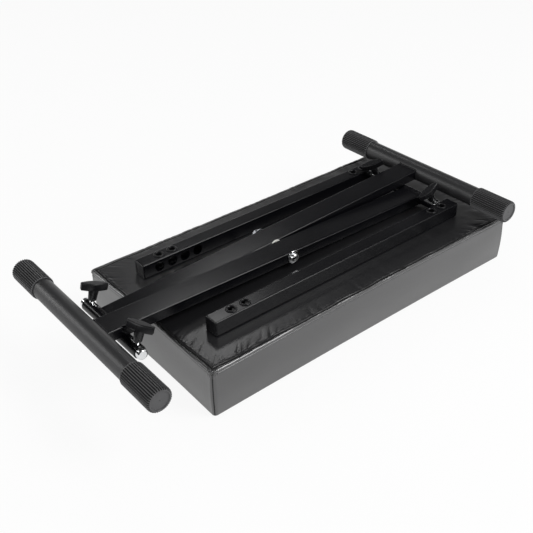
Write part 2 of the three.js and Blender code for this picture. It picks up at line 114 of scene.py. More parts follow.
overhang_share = (2 * arm - hinge_x - seat_length / 2) / (2 * arm)
folded_step = cross_radius + leg_thickness / 2 + gap
leg_rise = rail_size / 2 - leg_thickness / 2 - gap
latch_drop = (leg_rise + overhang_share * folded_step) / (1 - overhang_share)
angle_a = math.asin((folded_step - latch_drop) / (2 * arm))
angle_b = math.asin((folded_step + latch_drop) / (2 * arm))
pivot = Vector((hinge_x - arm * math.cos(angle_a), 0, rail_z + arm * math.sin(angle_a)))
leg_frame = {
    "a": Matrix.Translation(pivot) @ Matrix.Rotation(angle_a, 4, "Y"),
    "b": Matrix.Translation(pivot) @ Matrix.Rotation(-angle_b, 4, "Y"),
}
to_cross = {"a": 1, "b": -1}
pin_tip = {"a": locked_tip, "b": drawn_tip}
handle_tilt = {"a": math.radians(-30), "b": math.radians(20)}
handle_turn = {"a_near": -10, "a_far": -40, "b_near": -57, "b_far": -13}
sides = {"near": -1, "far": 1}
leg_side = {"a": -leg_y, "b": leg_y}
cross_frame = {n: leg_frame[n] @ Matrix.Translation((to_cross[n] * arm, 0, 0)) for n in "ab"}
foot_frame = {n: leg_frame[n] @ Matrix.Translation((-to_cross[n] * foot_arm, 0, 0)) for n in "ab"}
print("pivot:", [round(v / mm, 2) for v in pivot])
print("latching tube:", [round(v / mm, 2) for v in cross_frame["b"].translation])

# %% [markdown]
# ## Node trees as arithmetic
#
# A material or a geometry tree is a sum written with boxes and wires. To keep it readable, a Wire
# stands for one output of a node and takes part in plain Python sums: each operator adds the Math
# node it stands for. A Board holds the tree. Its one method, make, adds any other node.

# %% Wires and boards
class Wire:
    """One output of a node, ready for sums."""

    def __init__(self, board, socket):
        self.board = board
        self.socket = socket

    def out(self, name):
        """Another output of the same node."""
        return Wire(self.board, self.socket.node.outputs[name])

    def sum_with(self, operation, other, flipped=False):
        first, second = (other, self) if flipped else (self, other)
        return self.board.make("ShaderNodeMath", {"operation": operation}, {0: first, 1: second})

    def __add__(self, other):
        return self.sum_with("ADD", other)

    def __sub__(self, other):
        return self.sum_with("SUBTRACT", other)

    def __rsub__(self, other):
        return self.sum_with("SUBTRACT", other, True)

    def __mul__(self, other):
        return self.sum_with("MULTIPLY", other)

    def __truediv__(self, other):
        return self.sum_with("DIVIDE", other)

    def __pow__(self, other):
        return self.sum_with("POWER", other)

    def __gt__(self, other):
        return self.sum_with("GREATER_THAN", other)

    __radd__ = __add__
    __rmul__ = __mul__


class Board:
    """A node tree being drawn up."""

    def __init__(self, tree):
        self.tree = tree

    def make(self, kind, settings=None, given=None, take=0):
        """Adds one node. Settings are its options, given its sockets' values or wires."""
        node = self.tree.nodes.new(kind)
        for key, value in (settings or {}).items():
            setattr(node, key, value)
        for key, value in (given or {}).items():
            if isinstance(value, Wire):
                self.tree.links.new(value.socket, node.inputs[key])
            else:
                node.inputs[key].default_value = value
        return Wire(self, node.outputs[take]) if node.outputs else node

# %% [markdown]
# ## Finishes
#
# Nearly everything on the bench is black, so the finishes have to differ in how they shine. Vinyl
# has a satin shine broken by a fine pebble grain. Powder coat and moulded plastic are smoother,
# with a faint fine grain and a weaker shine. Rubber is duller. The tops of its ribs are painted
# lighter than the base, a painted highlight, and its grooves, like the seams in the vinyl, are
# painted black as painted shade. Zinc is bright metal. Each finish reads Object coordinates: as
# every piece sits at the origin, these are metres on the bench.

# %% A finish
slow_scale, fine_scale = 14.0, 160.0
darker_share, lighter_share = 0.82, 1.18
coat_roughness = 0.30
# The black painted into grooves and seams as shade.
painted_groove_shade = (0.001, 0.001, 0.001)
grain_nodes = {"pebble": ("ShaderNodeTexVoronoi", "Distance"), "cloud": ("ShaderNodeTexNoise", "Fac")}


def new_finish(name):
    """An empty material, with the board of its tree."""
    material = bpy.data.materials.new(name)
    material.use_nodes = True
    material.node_tree.nodes.clear()
    return material, Board(material.node_tree)


def blend(board, share, first, second):
    """One colour that goes over into another. Each is three numbers or a wire."""
    given = {0: share}
    for socket, colour in ((6, first), (7, second)):
        given[socket] = colour if isinstance(colour, Wire) else (*colour, 1)
    return board.make("ShaderNodeMix", {"data_type": "RGBA"}, given, 2)


def finish(name, base, roughness, spread=0.0, metallic=0.0, grain=(), coat=0.0, specular=0.5, painted_ridge_colour=None):
    """A finish whose colour and roughness vary by a slow cloud, with layers of fine grain.

    Each grain is (kind, cell size, depth). Spread is how much the roughness varies. The painted
    ridge colour, the last argument, goes on what stands proud, a painted highlight where it is
    lighter than the base; where the mesh says it is sunk, the finish is dull and painted black, as
    painted shade.
    """
    material, board = new_finish(name)
    place = board.make("ShaderNodeTexCoord", take="Object")
    slow = {"Vector": place, "Scale": slow_scale, "Detail": 3.0}
    fine = {"Vector": place, "Scale": fine_scale, "Detail": 4.0}
    cloud = board.make("ShaderNodeTexNoise", None, slow, "Fac")
    speck = board.make("ShaderNodeTexNoise", None, fine, "Fac")
    dark, light = [[c * share for c in base] for share in (darker_share, lighter_share)]
    shade = blend(board, cloud * 0.6 + speck * 0.4, dark, light)
    rough = roughness + (cloud - 0.5) * (2 * spread) + (speck - 0.5) * spread
    given = {"Base Color": shade, "Roughness": rough, "Metallic": metallic, "Coat Weight": coat}
    given.update({"Coat Roughness": coat_roughness, "Specular IOR Level": specular})
    # Painted shade and highlight: sunk points are painted black, and what stands proud takes the ridge
    # colour.
    if painted_ridge_colour:
        sunk = board.make("ShaderNodeAttribute", {"attribute_name": "sunk"}, None, "Fac")
        proud = blend(board, cloud * 0.3, painted_ridge_colour, shade)
        given["Base Color"] = blend(board, sunk, proud, painted_groove_shade)
        given["Roughness"] = rough + sunk * 0.5
        given["Coat Weight"] = coat * (1 - sunk)
    for kind, cell, depth in grain:
        node, output = grain_nodes[kind]
        height = board.make(node, None, {"Vector": place, "Scale": 1 / cell}, output)
        bump = {"Height": height, "Strength": 1.0, "Distance": depth}
        if "Normal" in given:
            bump["Normal"] = given["Normal"]
        given["Normal"] = board.make("ShaderNodeBump", None, bump)
    shader = board.make("ShaderNodeBsdfPrincipled", None, given)
    board.make("ShaderNodeOutputMaterial", None, {"Surface": shader})
    return material


# Painted shade: on both vinyls the points kept as sunk, the seams and corner grooves, are painted black.
# The cover's ridge colour is a little lighter than its base, a faint painted highlight.
vinyl = finish(
    "black vinyl", (0.014, 0.014, 0.015), 0.36, 0.05,
    grain=[("pebble", 1.1 * mm, 0.02 * mm), ("cloud", 9 * mm, 0.10 * mm)],
    coat=1.0, specular=1.0, painted_ridge_colour=(0.014, 0.014, 0.015),
)
cover_vinyl = finish(
    "cover vinyl", (0.008, 0.008, 0.009), 0.36, 0.07,
    grain=[("pebble", 1.1 * mm, 0.02 * mm), ("cloud", 24 * mm, 0.7 * mm)],
    coat=0.5, painted_ridge_colour=(0.010, 0.010, 0.011),
)
powder_coat = finish(
    "black powder coat", (0.003, 0.003, 0.004), 0.24, 0.04,
    grain=[("cloud", 1.6 * mm, 0.004 * mm)], specular=0.34,
)
foot_coat = finish("satin foot tube coat", (0.020, 0.020, 0.021), 0.40, 0.03)
# Painted highlight and shade: the rib tops are painted lighter than the base rubber, and the grooves
# black.
rubber = finish(
    "black rubber", (0.020, 0.020, 0.021), 0.40, 0.06,
    grain=[("cloud", 0.8 * mm, 0.001 * mm)], painted_ridge_colour=(0.075, 0.075, 0.078),
)
moulded = finish(
    "moulded black plastic", (0.008, 0.008, 0.009), 0.28, 0.05,
    grain=[("cloud", 0.6 * mm, 0.01 * mm)], specular=0.34,
)
zinc = finish(
    "bright zinc", (0.86, 0.87, 0.88), 0.18, 0.06, metallic=1.0,
    grain=[("cloud", 1.0 * mm, 0.005 * mm)],
)
oxide = finish("black oxide steel", (0.05, 0.05, 0.055), 0.45, 0.06, metallic=1.0)
dull_zinc = finish(
    "dull zinc", (0.35, 0.36, 0.38), 0.36, 0.08, metallic=1.0,
    grain=[("cloud", 1.0 * mm, 0.02 * mm)],
)
nylon = finish("white nylon", (0.70, 0.70, 0.66), 0.45, 0.04)
thread = finish("black thread", (0.006, 0.006, 0.007), 0.75, 0.05)
print("finishes:", len(bpy.data.materials))

# %% [markdown]
# Plywood shows only where a hand would feel for it, inside the cover, but it is finished all the
# same: long rings along the board, with a finer streak in them.

# %% Plywood
def make_plywood():
    material, board = new_finish("raw plywood")
    place = board.make("ShaderNodeTexCoord", take="Object")
    long_way = board.make("ShaderNodeMapping", None, {"Vector": place, "Scale": (2.0, 30.0, 300.0)})
    ring = board.make("ShaderNodeTexNoise", None, {"Vector": long_way, "Scale": 2.0, "Detail": 5.0}, "Fac")
    shade = blend(board, ring, (0.36, 0.19, 0.08), (0.62, 0.40, 0.20))
    given = {"Base Color": shade, "Roughness": 0.55 + ring * 0.2}
    shader = board.make("ShaderNodeBsdfPrincipled", None, given)
    board.make("ShaderNodeOutputMaterial", None, {"Surface": shader})
    return material


plywood = make_plywood()

# %% [markdown]
# ## Mesh tools
#
# Most of the hard pieces are rings of points joined into a skin: a bar is two or four rings, and
# a turned piece is one ring for each point of its outline. Holes are cut by a Boolean
# modifier. Weighted normals then keep flat faces flat next to their rounded edges, which is what
# makes a thin bright line run along an edge.

# %% Mesh tools
def placed(name, data):
    """A new object in the scene, at the origin."""
    made = bpy.data.objects.new(name, data)
    bpy.context.scene.collection.objects.link(made)
    return made


def piece(name, points, faces, edges=()):
    """A new object at the origin from points and faces, or from points and edges."""
    mesh = bpy.data.meshes.new(name)
    mesh.from_pydata([tuple(p) for p in points], list(edges), faces)
    return placed(name, mesh)


def mark_sunk(made, depths):
    """Keeps on each point how far it is sunk, from 0 to 1; the finish paints the sunk points dark, as
    painted shade.
    """
    made.data.attributes.new("sunk", "FLOAT", "POINT").data.foreach_set("value", np.clip(depths, 0, 1))


def skin(rings, loop=False):
    """Points and faces through rings of equal length, closed at both ends or joined in a loop."""
    count = len(rings[0])
    points = [p for ring in rings for p in ring]
    faces = []
    for k in range(len(rings) if loop else len(rings) - 1):
        a, b = k * count, ((k + 1) % len(rings)) * count
        for i in range(count):
            j = (i + 1) % count
            faces.append((a + i, a + j, b + j, b + i))
    if not loop:
        faces.append(tuple(reversed(range(count))))
        faces.append(tuple((len(rings) - 1) * count + i for i in range(count)))
    return points, faces


def turned(name, outline, steps=64, loop=False):
    """A piece turned around Z from an outline of (radius, height)."""
    angles = [2 * math.pi * i / steps for i in range(steps)]
    rings = [[(r * math.cos(a), r * math.sin(a), h) for a in angles] for r, h in outline]
    return piece(name, *skin(rings, loop))


def rounded(width, height, radius, steps=5):
    """The outline of a rectangle with round corners, as (u, v) points."""
    points = []
    for k, (u, v) in enumerate([(1, 1), (-1, 1), (-1, -1), (1, -1)]):
        middle_u, middle_v = u * (width / 2 - radius), v * (height / 2 - radius)
        for i in range(steps + 1):
            a = math.pi / 2 * (k + i / steps)
            points.append((middle_u + radius * math.cos(a), middle_v + radius * math.sin(a)))
    return points


least_radius = 0.1 * mm


def bar(name, size_y, size_z, radius, from_x, to_x, edge=0.0):
    """A bar along X with round long corners and, if asked, eased ends."""
    rings = []
    stations = [(from_x, 0), (to_x, 0)]
    if edge:
        stations = [(from_x, edge), (from_x + edge, 0), (to_x - edge, 0), (to_x, edge)]
    for x, inset in stations:
        outline = rounded(size_y - 2 * inset, size_z - 2 * inset, max(radius - inset, least_radius))
        rings.append([(x, u, v) for u, v in outline])
    return piece(name, *skin(rings))


Z_TO_Y = Matrix.Rotation(-math.pi / 2, 4, "X")
outwards_at = {1: Z_TO_Y, -1: Matrix.Rotation(math.pi / 2, 4, "X")}


def put(made, matrix):
    """Moves a piece by changing its mesh, so that the object stays at the origin."""
    made.data.transform(matrix)
    return made


def settle(made):
    """Turns a piece with its modifiers into one plain mesh."""
    bpy.context.view_layer.update()
    seen = made.evaluated_get(bpy.context.evaluated_depsgraph_get())
    mesh = bpy.data.meshes.new_from_object(seen)
    made.modifiers.clear()
    made.data = mesh
    return made


def joined(name, parts):
    """One object from several, each keeping its own shell."""
    merged = bmesh.new()
    for part in parts:
        merged.from_mesh(part.data)
        bpy.data.objects.remove(part)
    mesh = bpy.data.meshes.new(name)
    merged.to_mesh(mesh)
    merged.free()
    return placed(name, mesh)


def carved(made, cutters):
    """Cuts each of the cutters out of a piece."""
    cutter = joined("cutter", cutters)
    cut = made.modifiers.new("cut", "BOOLEAN")
    cut.operation = "DIFFERENCE"
    cut.solver = "EXACT"
    cut.use_self = True
    cut.object = cutter
    settle(made)
    bpy.data.objects.remove(cutter)
    return made


def eased(made, width=0.0, angle=40):
    """Faces outwards, small bevels on sharp edges if a width is given, and weighted normals."""
    work = bmesh.new()
    work.from_mesh(made.data)
    bmesh.ops.remove_doubles(work, verts=work.verts, dist=1e-6)
    bmesh.ops.recalc_face_normals(work, faces=work.faces)
    work.to_mesh(made.data)
    work.free()
    if width:
        bevel = made.modifiers.new("bevel", "BEVEL")
        bevel.width = width
        bevel.segments = 2
        bevel.limit_method = "ANGLE"
        bevel.angle_limit = math.radians(angle)
        settle(made)
    made.data.shade_smooth()
    made.data.set_sharp_from_angle(angle=math.radians(angle))
    weigh = made.modifiers.new("weighted", "WEIGHTED_NORMAL")
    weigh.keep_sharp = True
    return settle(made)


def dressed(made, material, body, replaced=()):
    """The last step for each piece: its finish, its body and the solids it stands for."""
    made.data.materials.clear()
    made.data.materials.append(material)
    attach(made, body)
    if replaced:
        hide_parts(*replaced)
    return made

# %% [markdown]
# ## The padded seat
#
# The seat is a foam box in a sewn vinyl cover, 80 mm thick. Seen like this, its side panels rise
# to a rolled edge, and behind the roll runs a wavy, puckered seam where the cover was pulled over
# the board. At each corner the roll is gathered in a few pleats, and a seam runs down the corner.
#
# Such a form follows rules, so it is made of rings: one ring for each point of the profile from
# the sitting face up the side and over the roll, each with about 1300 points. A slow noise
# drives the waves, and a ridged noise the puckers.

# %% The seat's rings
corner_steps = 26
wall_steps = [220, 380, 220, 380]
crowding_share = 0.72
least_corner = 0.4 * mm


def crowded(steps):
    """Shares from 0 to 1 that lie closer together near both ends, where the pleats are."""
    even = np.arange(steps) / steps
    return even - crowding_share * np.sin(2 * math.pi * even) / (2 * math.pi)


def seat_ring(inset):
    """Points on the seat's outline moved in by inset, with their outward directions."""
    radius = max(seat_corner - inset, least_corner)
    half_x, half_y = seat_length / 2 - inset, seat_width / 2 - inset
    points, outward = [], []
    corners = [(1, -1), (1, 1), (-1, 1), (-1, -1)]
    for k, (cx, cy) in enumerate(corners):
        centre = Vector((cx * (half_x - radius), cy * (half_y - radius)))
        start = math.pi / 2 * (k - 1)
        for i in range(corner_steps):
            a = start + math.pi / 2 * i / corner_steps
            points.append(centre + radius * Vector((math.cos(a), math.sin(a))))
            outward.append((math.cos(a), math.sin(a)))
        nx, ny = corners[(k + 1) % 4]
        goal = Vector((nx * (half_x - radius), ny * (half_y - radius)))
        a = start + math.pi / 2
        direction = Vector((math.cos(a), math.sin(a)))
        for share in crowded(wall_steps[k]):
            points.append(centre.lerp(goal, share) + radius * direction)
            outward.append(tuple(direction))
    return np.array([tuple(p) for p in points]), np.array(outward)


outline, outward = seat_ring(0.0)
ring_count = len(outline)
print("points in a ring:", ring_count)

# %% Waves, puckers and the distance from each corner
def wave(points, size, seed):
    """Slow noise from -1 to 1 at points on the seat. Size is the length of its waves."""
    return np.array([2 * noise.noise(Vector((x / size, y / size, seed))) for x, y in points])


def ridges(points, size, seed):
    """Sharp folds with soft valleys, from 0 to 1."""
    return (1 - np.abs(wave(points, size, seed))).clip(0, 1) ** 2


def bell(distance, width):
    """One at no distance, fading to almost nothing at two widths."""
    return np.exp(-((distance / width) ** 2))


seam_reach, draw_depth = 3.0 * mm, 2.2 * mm
corner_reach, pleat_pitch = 9 * mm, 3.4 * mm
seam_wave = wave(outline, 42 * mm, 3.1) * 0.8 + wave(outline, 17 * mm, 8.7) * 0.25
seam_swing = seam_reach * (0.5 + 0.5 * seam_wave).clip(0, 1)
pucker = ridges(outline, 12 * mm, 5.3) * (0.35 + 0.65 * (wave(outline, 70 * mm, 1.9) > -0.1))
side_swell = wave(outline, 110 * mm, 6.1)

step_lengths = np.linalg.norm(np.roll(outline, -1, 0) - outline, axis=1)
along = np.concatenate([[0], np.cumsum(step_lengths)[:-1]])
around = step_lengths.sum()
corner_middles = []
from_corner = np.full(ring_count, around)
wall_share = np.zeros(ring_count)
start = 0
for steps in wall_steps:
    middle = start + corner_steps // 2
    corner_middles.append(middle)
    away = (along - along[middle] + around / 2) % around - around / 2
    nearer = np.abs(away) < np.abs(from_corner)
    from_corner[nearer] = away[nearer]
    wall = start + corner_steps
    start = wall + steps
    wall_share[wall:start] = crowded(steps)
draw_in = draw_depth * np.sin(math.pi * wall_share)
at_corner = bell(from_corner, corner_reach)
pleats = 0.5 + 0.5 * np.cos(from_corner * 2 * math.pi / pleat_pitch)
print("seat measures", round(around / mm), "mm around")

# %% The profile, from the sitting face to the pocket for the board
side_bow, sole_curve, side_height = 1.5 * mm, 3.5 * mm, 70.5 * mm
pocket_inset, pocket_middle, pocket_floor = 9.2 * mm, 70 * mm, 65.9 * mm
lid_inset, sole_inset, floor_inset = 60 * mm, 20 * mm, 14 * mm
sole_steps, side_steps = 8, 26


def profile_rows():
    """(inset, height, share of side, share of seam) for every ring."""
    rows = [(lid_inset, 0.0, 0, 0), (sole_inset, 0.0, 0, 0)]
    for i in range(sole_steps + 1):
        a = math.pi / 2 * i / sole_steps
        rows.append((side_bow + sole_curve * (1 - math.sin(a)), sole_curve * (1 - math.cos(a)), 0, 0))
    for i in range(1, side_steps):
        bow = math.sin(math.pi * i / side_steps)
        rows.append((side_bow * (1 - bow), sole_curve + side_height * i / side_steps, bow, 0))
    crease = [(1.6, 72.8), (2.0, 73.2), (2.3, 73.5), (2.0, 73.8), (1.5, 74.2)]
    rows += [(x * mm, z * mm, 0, 0) for x, z in crease]
    roll = [(0.9, 75.0, 0.05), (0.6, 76.0, 0.1), (0.7, 77.0, 0.15), (1.15, 78.0, 0.2)]
    roll += [(1.9, 78.9, 0.25), (2.9, 79.6, 0.35), (4.0, 79.95, 0.5), (5.2, 80.0, 0.6)]
    roll += [(6.3, 79.85, 0.8), (7.2, 79.4, 0.9), (7.9, 78.7, 1.0), (8.4, 77.9, 1.0)]
    roll += [(8.7, 77.1, 0.7), (9.0, 75.5, 0.0)]
    rows += [(x * mm, z * mm, 0, w) for x, z, w in roll]
    rows += [(pocket_inset, pocket_middle, 0, 0), (pocket_inset, pocket_floor, 0, 0)]
    rows += [(floor_inset, pocket_floor, 0, 0), (lid_inset, pocket_floor, 0, 0)]
    return rows


seat_rows = profile_rows()
print("rings:", len(seat_rows))

# %% [markdown]
# Foam swells where nothing holds it. A short cloth simulation shows by how much: a copy of the
# seat's solid is remeshed, held along its top and bottom edges and blown up a little, and the
# movement of its sides is then handed to the fine rings. The movement is capped, since the real
# side panels are taut and nearly flat. The seat lies on its sitting face, which stays flat.

# %% Swelling of the sides, by simulation
held_height, held_depth = 9 * mm, 6 * mm
cloth_frames, cloth_voxel, nearest = 20, 6 * mm, 1 * mm
most_swelling = 2.0 * mm


def swelling():
    """A function from a point of a side panel to how far the panel swells there."""
    shell = placed("swelling shell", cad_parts["seat_cushion"].data.copy())
    weld = bmesh.new()
    weld.from_mesh(shell.data)
    bmesh.ops.remove_doubles(weld, verts=weld.verts, dist=1e-5)
    weld.to_mesh(shell.data)
    weld.free()
    remesh = shell.modifiers.new("remesh", "REMESH")
    remesh.mode = "VOXEL"
    remesh.voxel_size = cloth_voxel
    settle(shell)
    held = shell.vertex_groups.new(name="held")
    for v in shell.data.vertices:
        near_edge = min(v.co.z, seat_thickness - v.co.z) < held_height
        inside = max(abs(v.co.x) - seat_length / 2, abs(v.co.y) - seat_width / 2) < -held_depth
        if near_edge or inside:
            held.add([v.index], 1.0, "REPLACE")
    rest = np.array([v.co for v in shell.data.vertices])
    cloth = shell.modifiers.new("cloth", "CLOTH")
    cloth.settings.quality = 5
    cloth.settings.use_pressure = True
    cloth.settings.uniform_pressure_force = 4.0
    cloth.settings.effector_weights.gravity = 0.0
    cloth.settings.vertex_group_mass = "held"
    cloth.point_cache.frame_start = 1
    cloth.point_cache.frame_end = cloth_frames
    for step in range(1, cloth_frames + 1):
        bpy.context.scene.frame_set(step)
    seen = shell.evaluated_get(bpy.context.evaluated_depsgraph_get())
    moved = np.array([v.co for v in seen.data.vertices]) - rest
    bpy.context.scene.frame_set(1)
    bpy.data.objects.remove(shell)
    tree = KDTree(len(rest))
    for i, p in enumerate(rest):
        tree.insert(p, i)
    tree.balance()
    print("swelling: most", round(float(np.linalg.norm(moved, axis=1).max()) / mm, 2), "mm")

    def at(point, direction):
        total, weight = 0.0, 0.0
        for _, i, d in tree.find_n(point, 4):
            w = 1 / (d + nearest)
            total += w * float(moved[i][:2] @ direction)
            weight += w
        return min(max(total / weight, 0.0), most_swelling)

    return at


swell_at = swelling()

# %% Build the seat
groove_width, groove_depth = 1.1 * mm, 1.3 * mm
lip_place, lip_width, lip_height = 3.4 * mm, 1.5 * mm, 0.5 * mm
side_low, side_top, fade_low, fade_top = 1 * mm, 77 * mm, 3 * mm, 6 * mm
outer_inset, slack_width, swell_depth = 10 * mm, 5 * mm, 0.5 * mm
knot_low, knot_rise, knot_inset = 66 * mm, 7 * mm, 6 * mm
knot_reach, knot_draw = 1.9 * mm, 1.2 * mm
pucker_depth, gather_depth, gather_lift = 1.5 * mm, 2.0 * mm, 0.8 * mm
seam_low = 76 * mm


def build_seat():
    rings, depths = [], []
    groove = bell(from_corner, groove_width)
    lip = bell(from_corner + lip_place, lip_width) * lip_height
    for inset, height, side, seam in seat_rows:
        base, _ = seat_ring(inset)
        on_side = side_low < height < side_top
        move = np.zeros(ring_count)
        lift = np.zeros(ring_count)
        if inset < outer_inset:
            slack = min(max((inset - side_bow) / slack_width, 0.0), 1.0)
            move -= draw_in * (1 - slack * slack * (3 - 2 * slack))
            move += side * swell_depth * side_swell
            if on_side:
                fade = min((height - side_low) / fade_low, (side_top - height) / fade_top, 1.0)
                move += fade * (lip - groove_depth * groove)
            if side and swell_at is not None:
                for i in range(ring_count):
                    p = base[i] - outward[i] * draw_in[i]
                    move[i] += side * swell_at((p[0], p[1], height), outward[i])
        if seam:
            move += seam * seam_swing
            lift -= seam * (pucker_depth * pucker * (1 - at_corner))
            lift += seam * at_corner * (gather_lift - gather_depth * pleats)
        if knot_low < height and inset < knot_inset:
            rise = min((height - knot_low) / knot_rise, 1.0)
            move += rise * at_corner * (knot_reach * pleats - knot_draw)
        flat = base + outward * move[:, None]
        rings.append([(x, y, height + dz) for (x, y), dz in zip(flat, lift)])
        # Painted shade: the seam behind the roll and the groove down each corner are kept as sunk, and the
        # finish paints them black.
        in_seam = min(max((seam - 0.7) / 0.3, 0.0), 1.0) if height > seam_low else 0.0
        depths.append(np.maximum(in_seam, 0.9 * groove * on_side))
    seat = piece("seat_cover", *skin(rings))
    mark_sunk(seat, np.concatenate(depths))
    return eased(seat, angle=75)


seat = build_seat()
dressed(seat, vinyl, "seat", ["seat_cushion"])
print("seat faces:", len(seat.data.polygons))

# %% [markdown]
# ## The cover under the seat
#
# The sheet over the board starts at the wavy seam, pulls down into it, and lies nearly flat
# further in, with short creases that run away from the seam. Near the right end it is looser and
# shows a few soft folds. Under the rails it is pressed flat.

# %% Build the cover under the seat
cover_insets = [8.3, 8.6, 8.9, 9.2, 9.35, 9.5, 9.8, 10.2, 10.7, 11.3, 12, 13, 14.2, 16, 18.5, 21.5, 25]
cover_insets += [29, 34, 39, 44, 49, 55, 61, 67, 73, 80, 88, 96, 105, 115, 125, 136, 150]
cover_wall, cover_top = 0.1 * mm, 79.95 * mm
pressed_width, loose_from = 17 * mm, 160 * mm
crease_size, crease_patch, fold_size, fold_depth = 15 * mm, 55 * mm, 46 * mm, 0.6 * mm


def build_cover():
    """Rings from the seam inwards. Insets, drops and creases in here are in millimetres."""
    crease = ridges(outline, crease_size, 11.3) * (0.3 + 0.7 * (wave(outline, crease_patch, 4.4) > 0))
    rings, depths = [], []
    for inset in cover_insets:
        base, _ = seat_ring(inset * mm)
        d = max(inset - pocket_inset / mm, 0.0)
        edge = max(pocket_inset / mm - inset, 0.0)
        flat = base + outward * (seam_swing * math.exp(-d / 6))[:, None]
        drop = 1.5 * bell(d, 1.4) - 0.35 * bell(d - 3.2, 1.3) + 1.4 * edge
        crumple = 0.5 * crease * bell(d - 5, 10) + 0.8 * pucker * bell(d - 3, 3)
        slant = np.stack([flat[:, 0] * 1.6, flat[:, 1] * 0.55 + flat[:, 0] * 0.5], 1)
        fold = wave(slant, fold_size, 9.9) * fold_depth * (1 - math.exp(-d / 10))
        pressed = 1 - np.exp(-(((np.abs(flat[:, 1]) - rail_y) / pressed_width) ** 4))
        loose = 0.25 + 0.75 * (flat[:, 0] > loose_from)
        height = cover_z - (drop + crumple + 0.2) * mm + fold * pressed * loose
        height = np.clip(height, board_top + (0.15 - 1.4 * edge) * mm, cover_top)
        rings.append([(x, y, z) for (x, y), z in zip(flat, height)])
        # Painted shade: the sheet is kept as sunk close to the seam, and the finish paints it black there.
        depths.append(np.full(ring_count, bell(d, 1.1)))
    top, faces = skin(rings)
    # The last two faces close the outer and the inner ring. Only the inner one is wanted.
    cover = piece("underside_cover", top, faces[:-2] + faces[-1:])
    mark_sunk(cover, np.concatenate(depths))
    work = bmesh.new()
    work.from_mesh(cover.data)
    bmesh.ops.recalc_face_normals(work, faces=work.faces)
    if sum(f.normal.z for f in work.faces) < 0:
        bmesh.ops.reverse_faces(work, faces=work.faces)
    work.to_mesh(cover.data)
    work.free()
    wall = cover.modifiers.new("thickness", "SOLIDIFY")
    wall.thickness = cover_wall
    wall.offset = -1
    settle(cover)
    return eased(cover, angle=75)


cover = build_cover()
dressed(cover, cover_vinyl, "seat", ["underside_panel"])
# The seam swings outwards, by about half its reach in the mean, and the sheet's edge follows it.
cut_inset = cover_insets[0] * mm - seam_reach / 2
cut_size = (seat_width - 2 * cut_inset, seat_length - 2 * cut_inset)
print("cover faces:", len(cover.data.polygons), "cut size mm:", [round(v / mm) for v in cut_size])

# %% [markdown]
# ## Geometry Nodes: things in a row
#
# Stitches and weld ripples are both one small shape repeated along a path. One node tree does
# both: it turns the edges of a mesh into a curve, sets points on it at an even pitch, puts a small
# ball on each, stretched along the path, and makes the copies real. A fixed seed varies them.

# %% Geometry trees
def new_tree(name, inputs, output):
    """A geometry tree with named inputs: its board, and the wire of its first input."""
    tree = bpy.data.node_groups.new(name, "GeometryNodeTree")
    for socket, kind in inputs.items():
        tree.interface.new_socket(socket, in_out="INPUT", socket_type=f"NodeSocket{kind}")
    tree.interface.new_socket(output, in_out="OUTPUT", socket_type="NodeSocketGeometry")
    board = Board(tree)
    return board, board.make("NodeGroupInput", take=next(iter(inputs)))


def hand_out(board, shape, given):
    """The last nodes of each tree: a finish and the way out."""
    coated = board.make("GeometryNodeSetMaterial", None, {0: shape, "Material": given.out("Finish")})
    board.make("NodeGroupOutput", None, {0: coated})
    return board.tree


def grown(made, tree, values):
    """Runs a geometry tree on a piece, with values by name, and keeps the mesh that comes out."""
    nodes = made.modifiers.new("tree", "NODES")
    nodes.node_group = tree
    for item in tree.interface.items_tree:
        if item.in_out == "INPUT" and item.name in values:
            nodes[item.identifier] = values[item.name]
    return settle(made)

# %% A tree for beads along a path
def bead_tree():
    inputs = {"Path": "Geometry", "Pitch": "Float", "Length": "Float", "Width": "Float"}
    inputs.update({"Height": "Float", "Jitter": "Float", "Seed": "Int", "Finish": "Material"})
    board, given = new_tree("beads along a path", inputs, "Beads")
    curve = board.make("GeometryNodeMeshToCurve", None, {0: given})
    even = {"Curve": curve, "Length": given.out("Pitch")}
    spaced = board.make("GeometryNodeResampleCurve", {"mode": "LENGTH"}, even)
    ball = board.make("GeometryNodeMeshUVSphere", None, {"Segments": 8, "Rings": 5, "Radius": 0.5})
    tangent = board.make("GeometryNodeInputTangent")
    upward = board.make("GeometryNodeInputNormal")
    turn = board.make("FunctionNodeAxesToRotation", None, {0: tangent, 1: upward})
    draw = {2: -1.0, 3: 1.0, "Seed": given.out("Seed")}
    vary = 1 + board.make("FunctionNodeRandomValue", {"data_type": "FLOAT"}, draw, 1) * given.out("Jitter")
    sizes = {"X": given.out("Width") * vary, "Y": given.out("Height"), "Z": given.out("Length") * vary}
    size = board.make("ShaderNodeCombineXYZ", None, sizes)
    each = {"Points": spaced, "Instance": ball, "Rotation": turn, "Scale": size}
    beads = board.make("GeometryNodeInstanceOnPoints", None, each)
    real = board.make("GeometryNodeRealizeInstances", None, {0: beads})
    smooth = board.make("GeometryNodeSetShadeSmooth", None, {0: real})
    return hand_out(board, smooth, given)


beads_along = bead_tree()


def beads(name, lines, material, pitch, length, width, height, jitter=0.0, seed=1):
    """A plain mesh of beads along each polyline."""
    points, edges = [], []
    for line in lines:
        first = len(points)
        points += [tuple(p) for p in line]
        edges += [(first + i, first + i + 1) for i in range(len(line) - 1)]
    values = {"Pitch": pitch, "Length": length, "Width": width, "Height": height, "Jitter": jitter}
    values.update({"Seed": seed, "Finish": material})
    made = grown(piece(name, points, [], edges), beads_along, values)
    print(name, "faces:", len(made.data.polygons))
    return made

# %% [markdown]
# The stitches that show are those down each corner seam, and a row in the wavy seam behind the
# rolled edge. Black thread on black vinyl is seen mostly as a row of small dark dots.

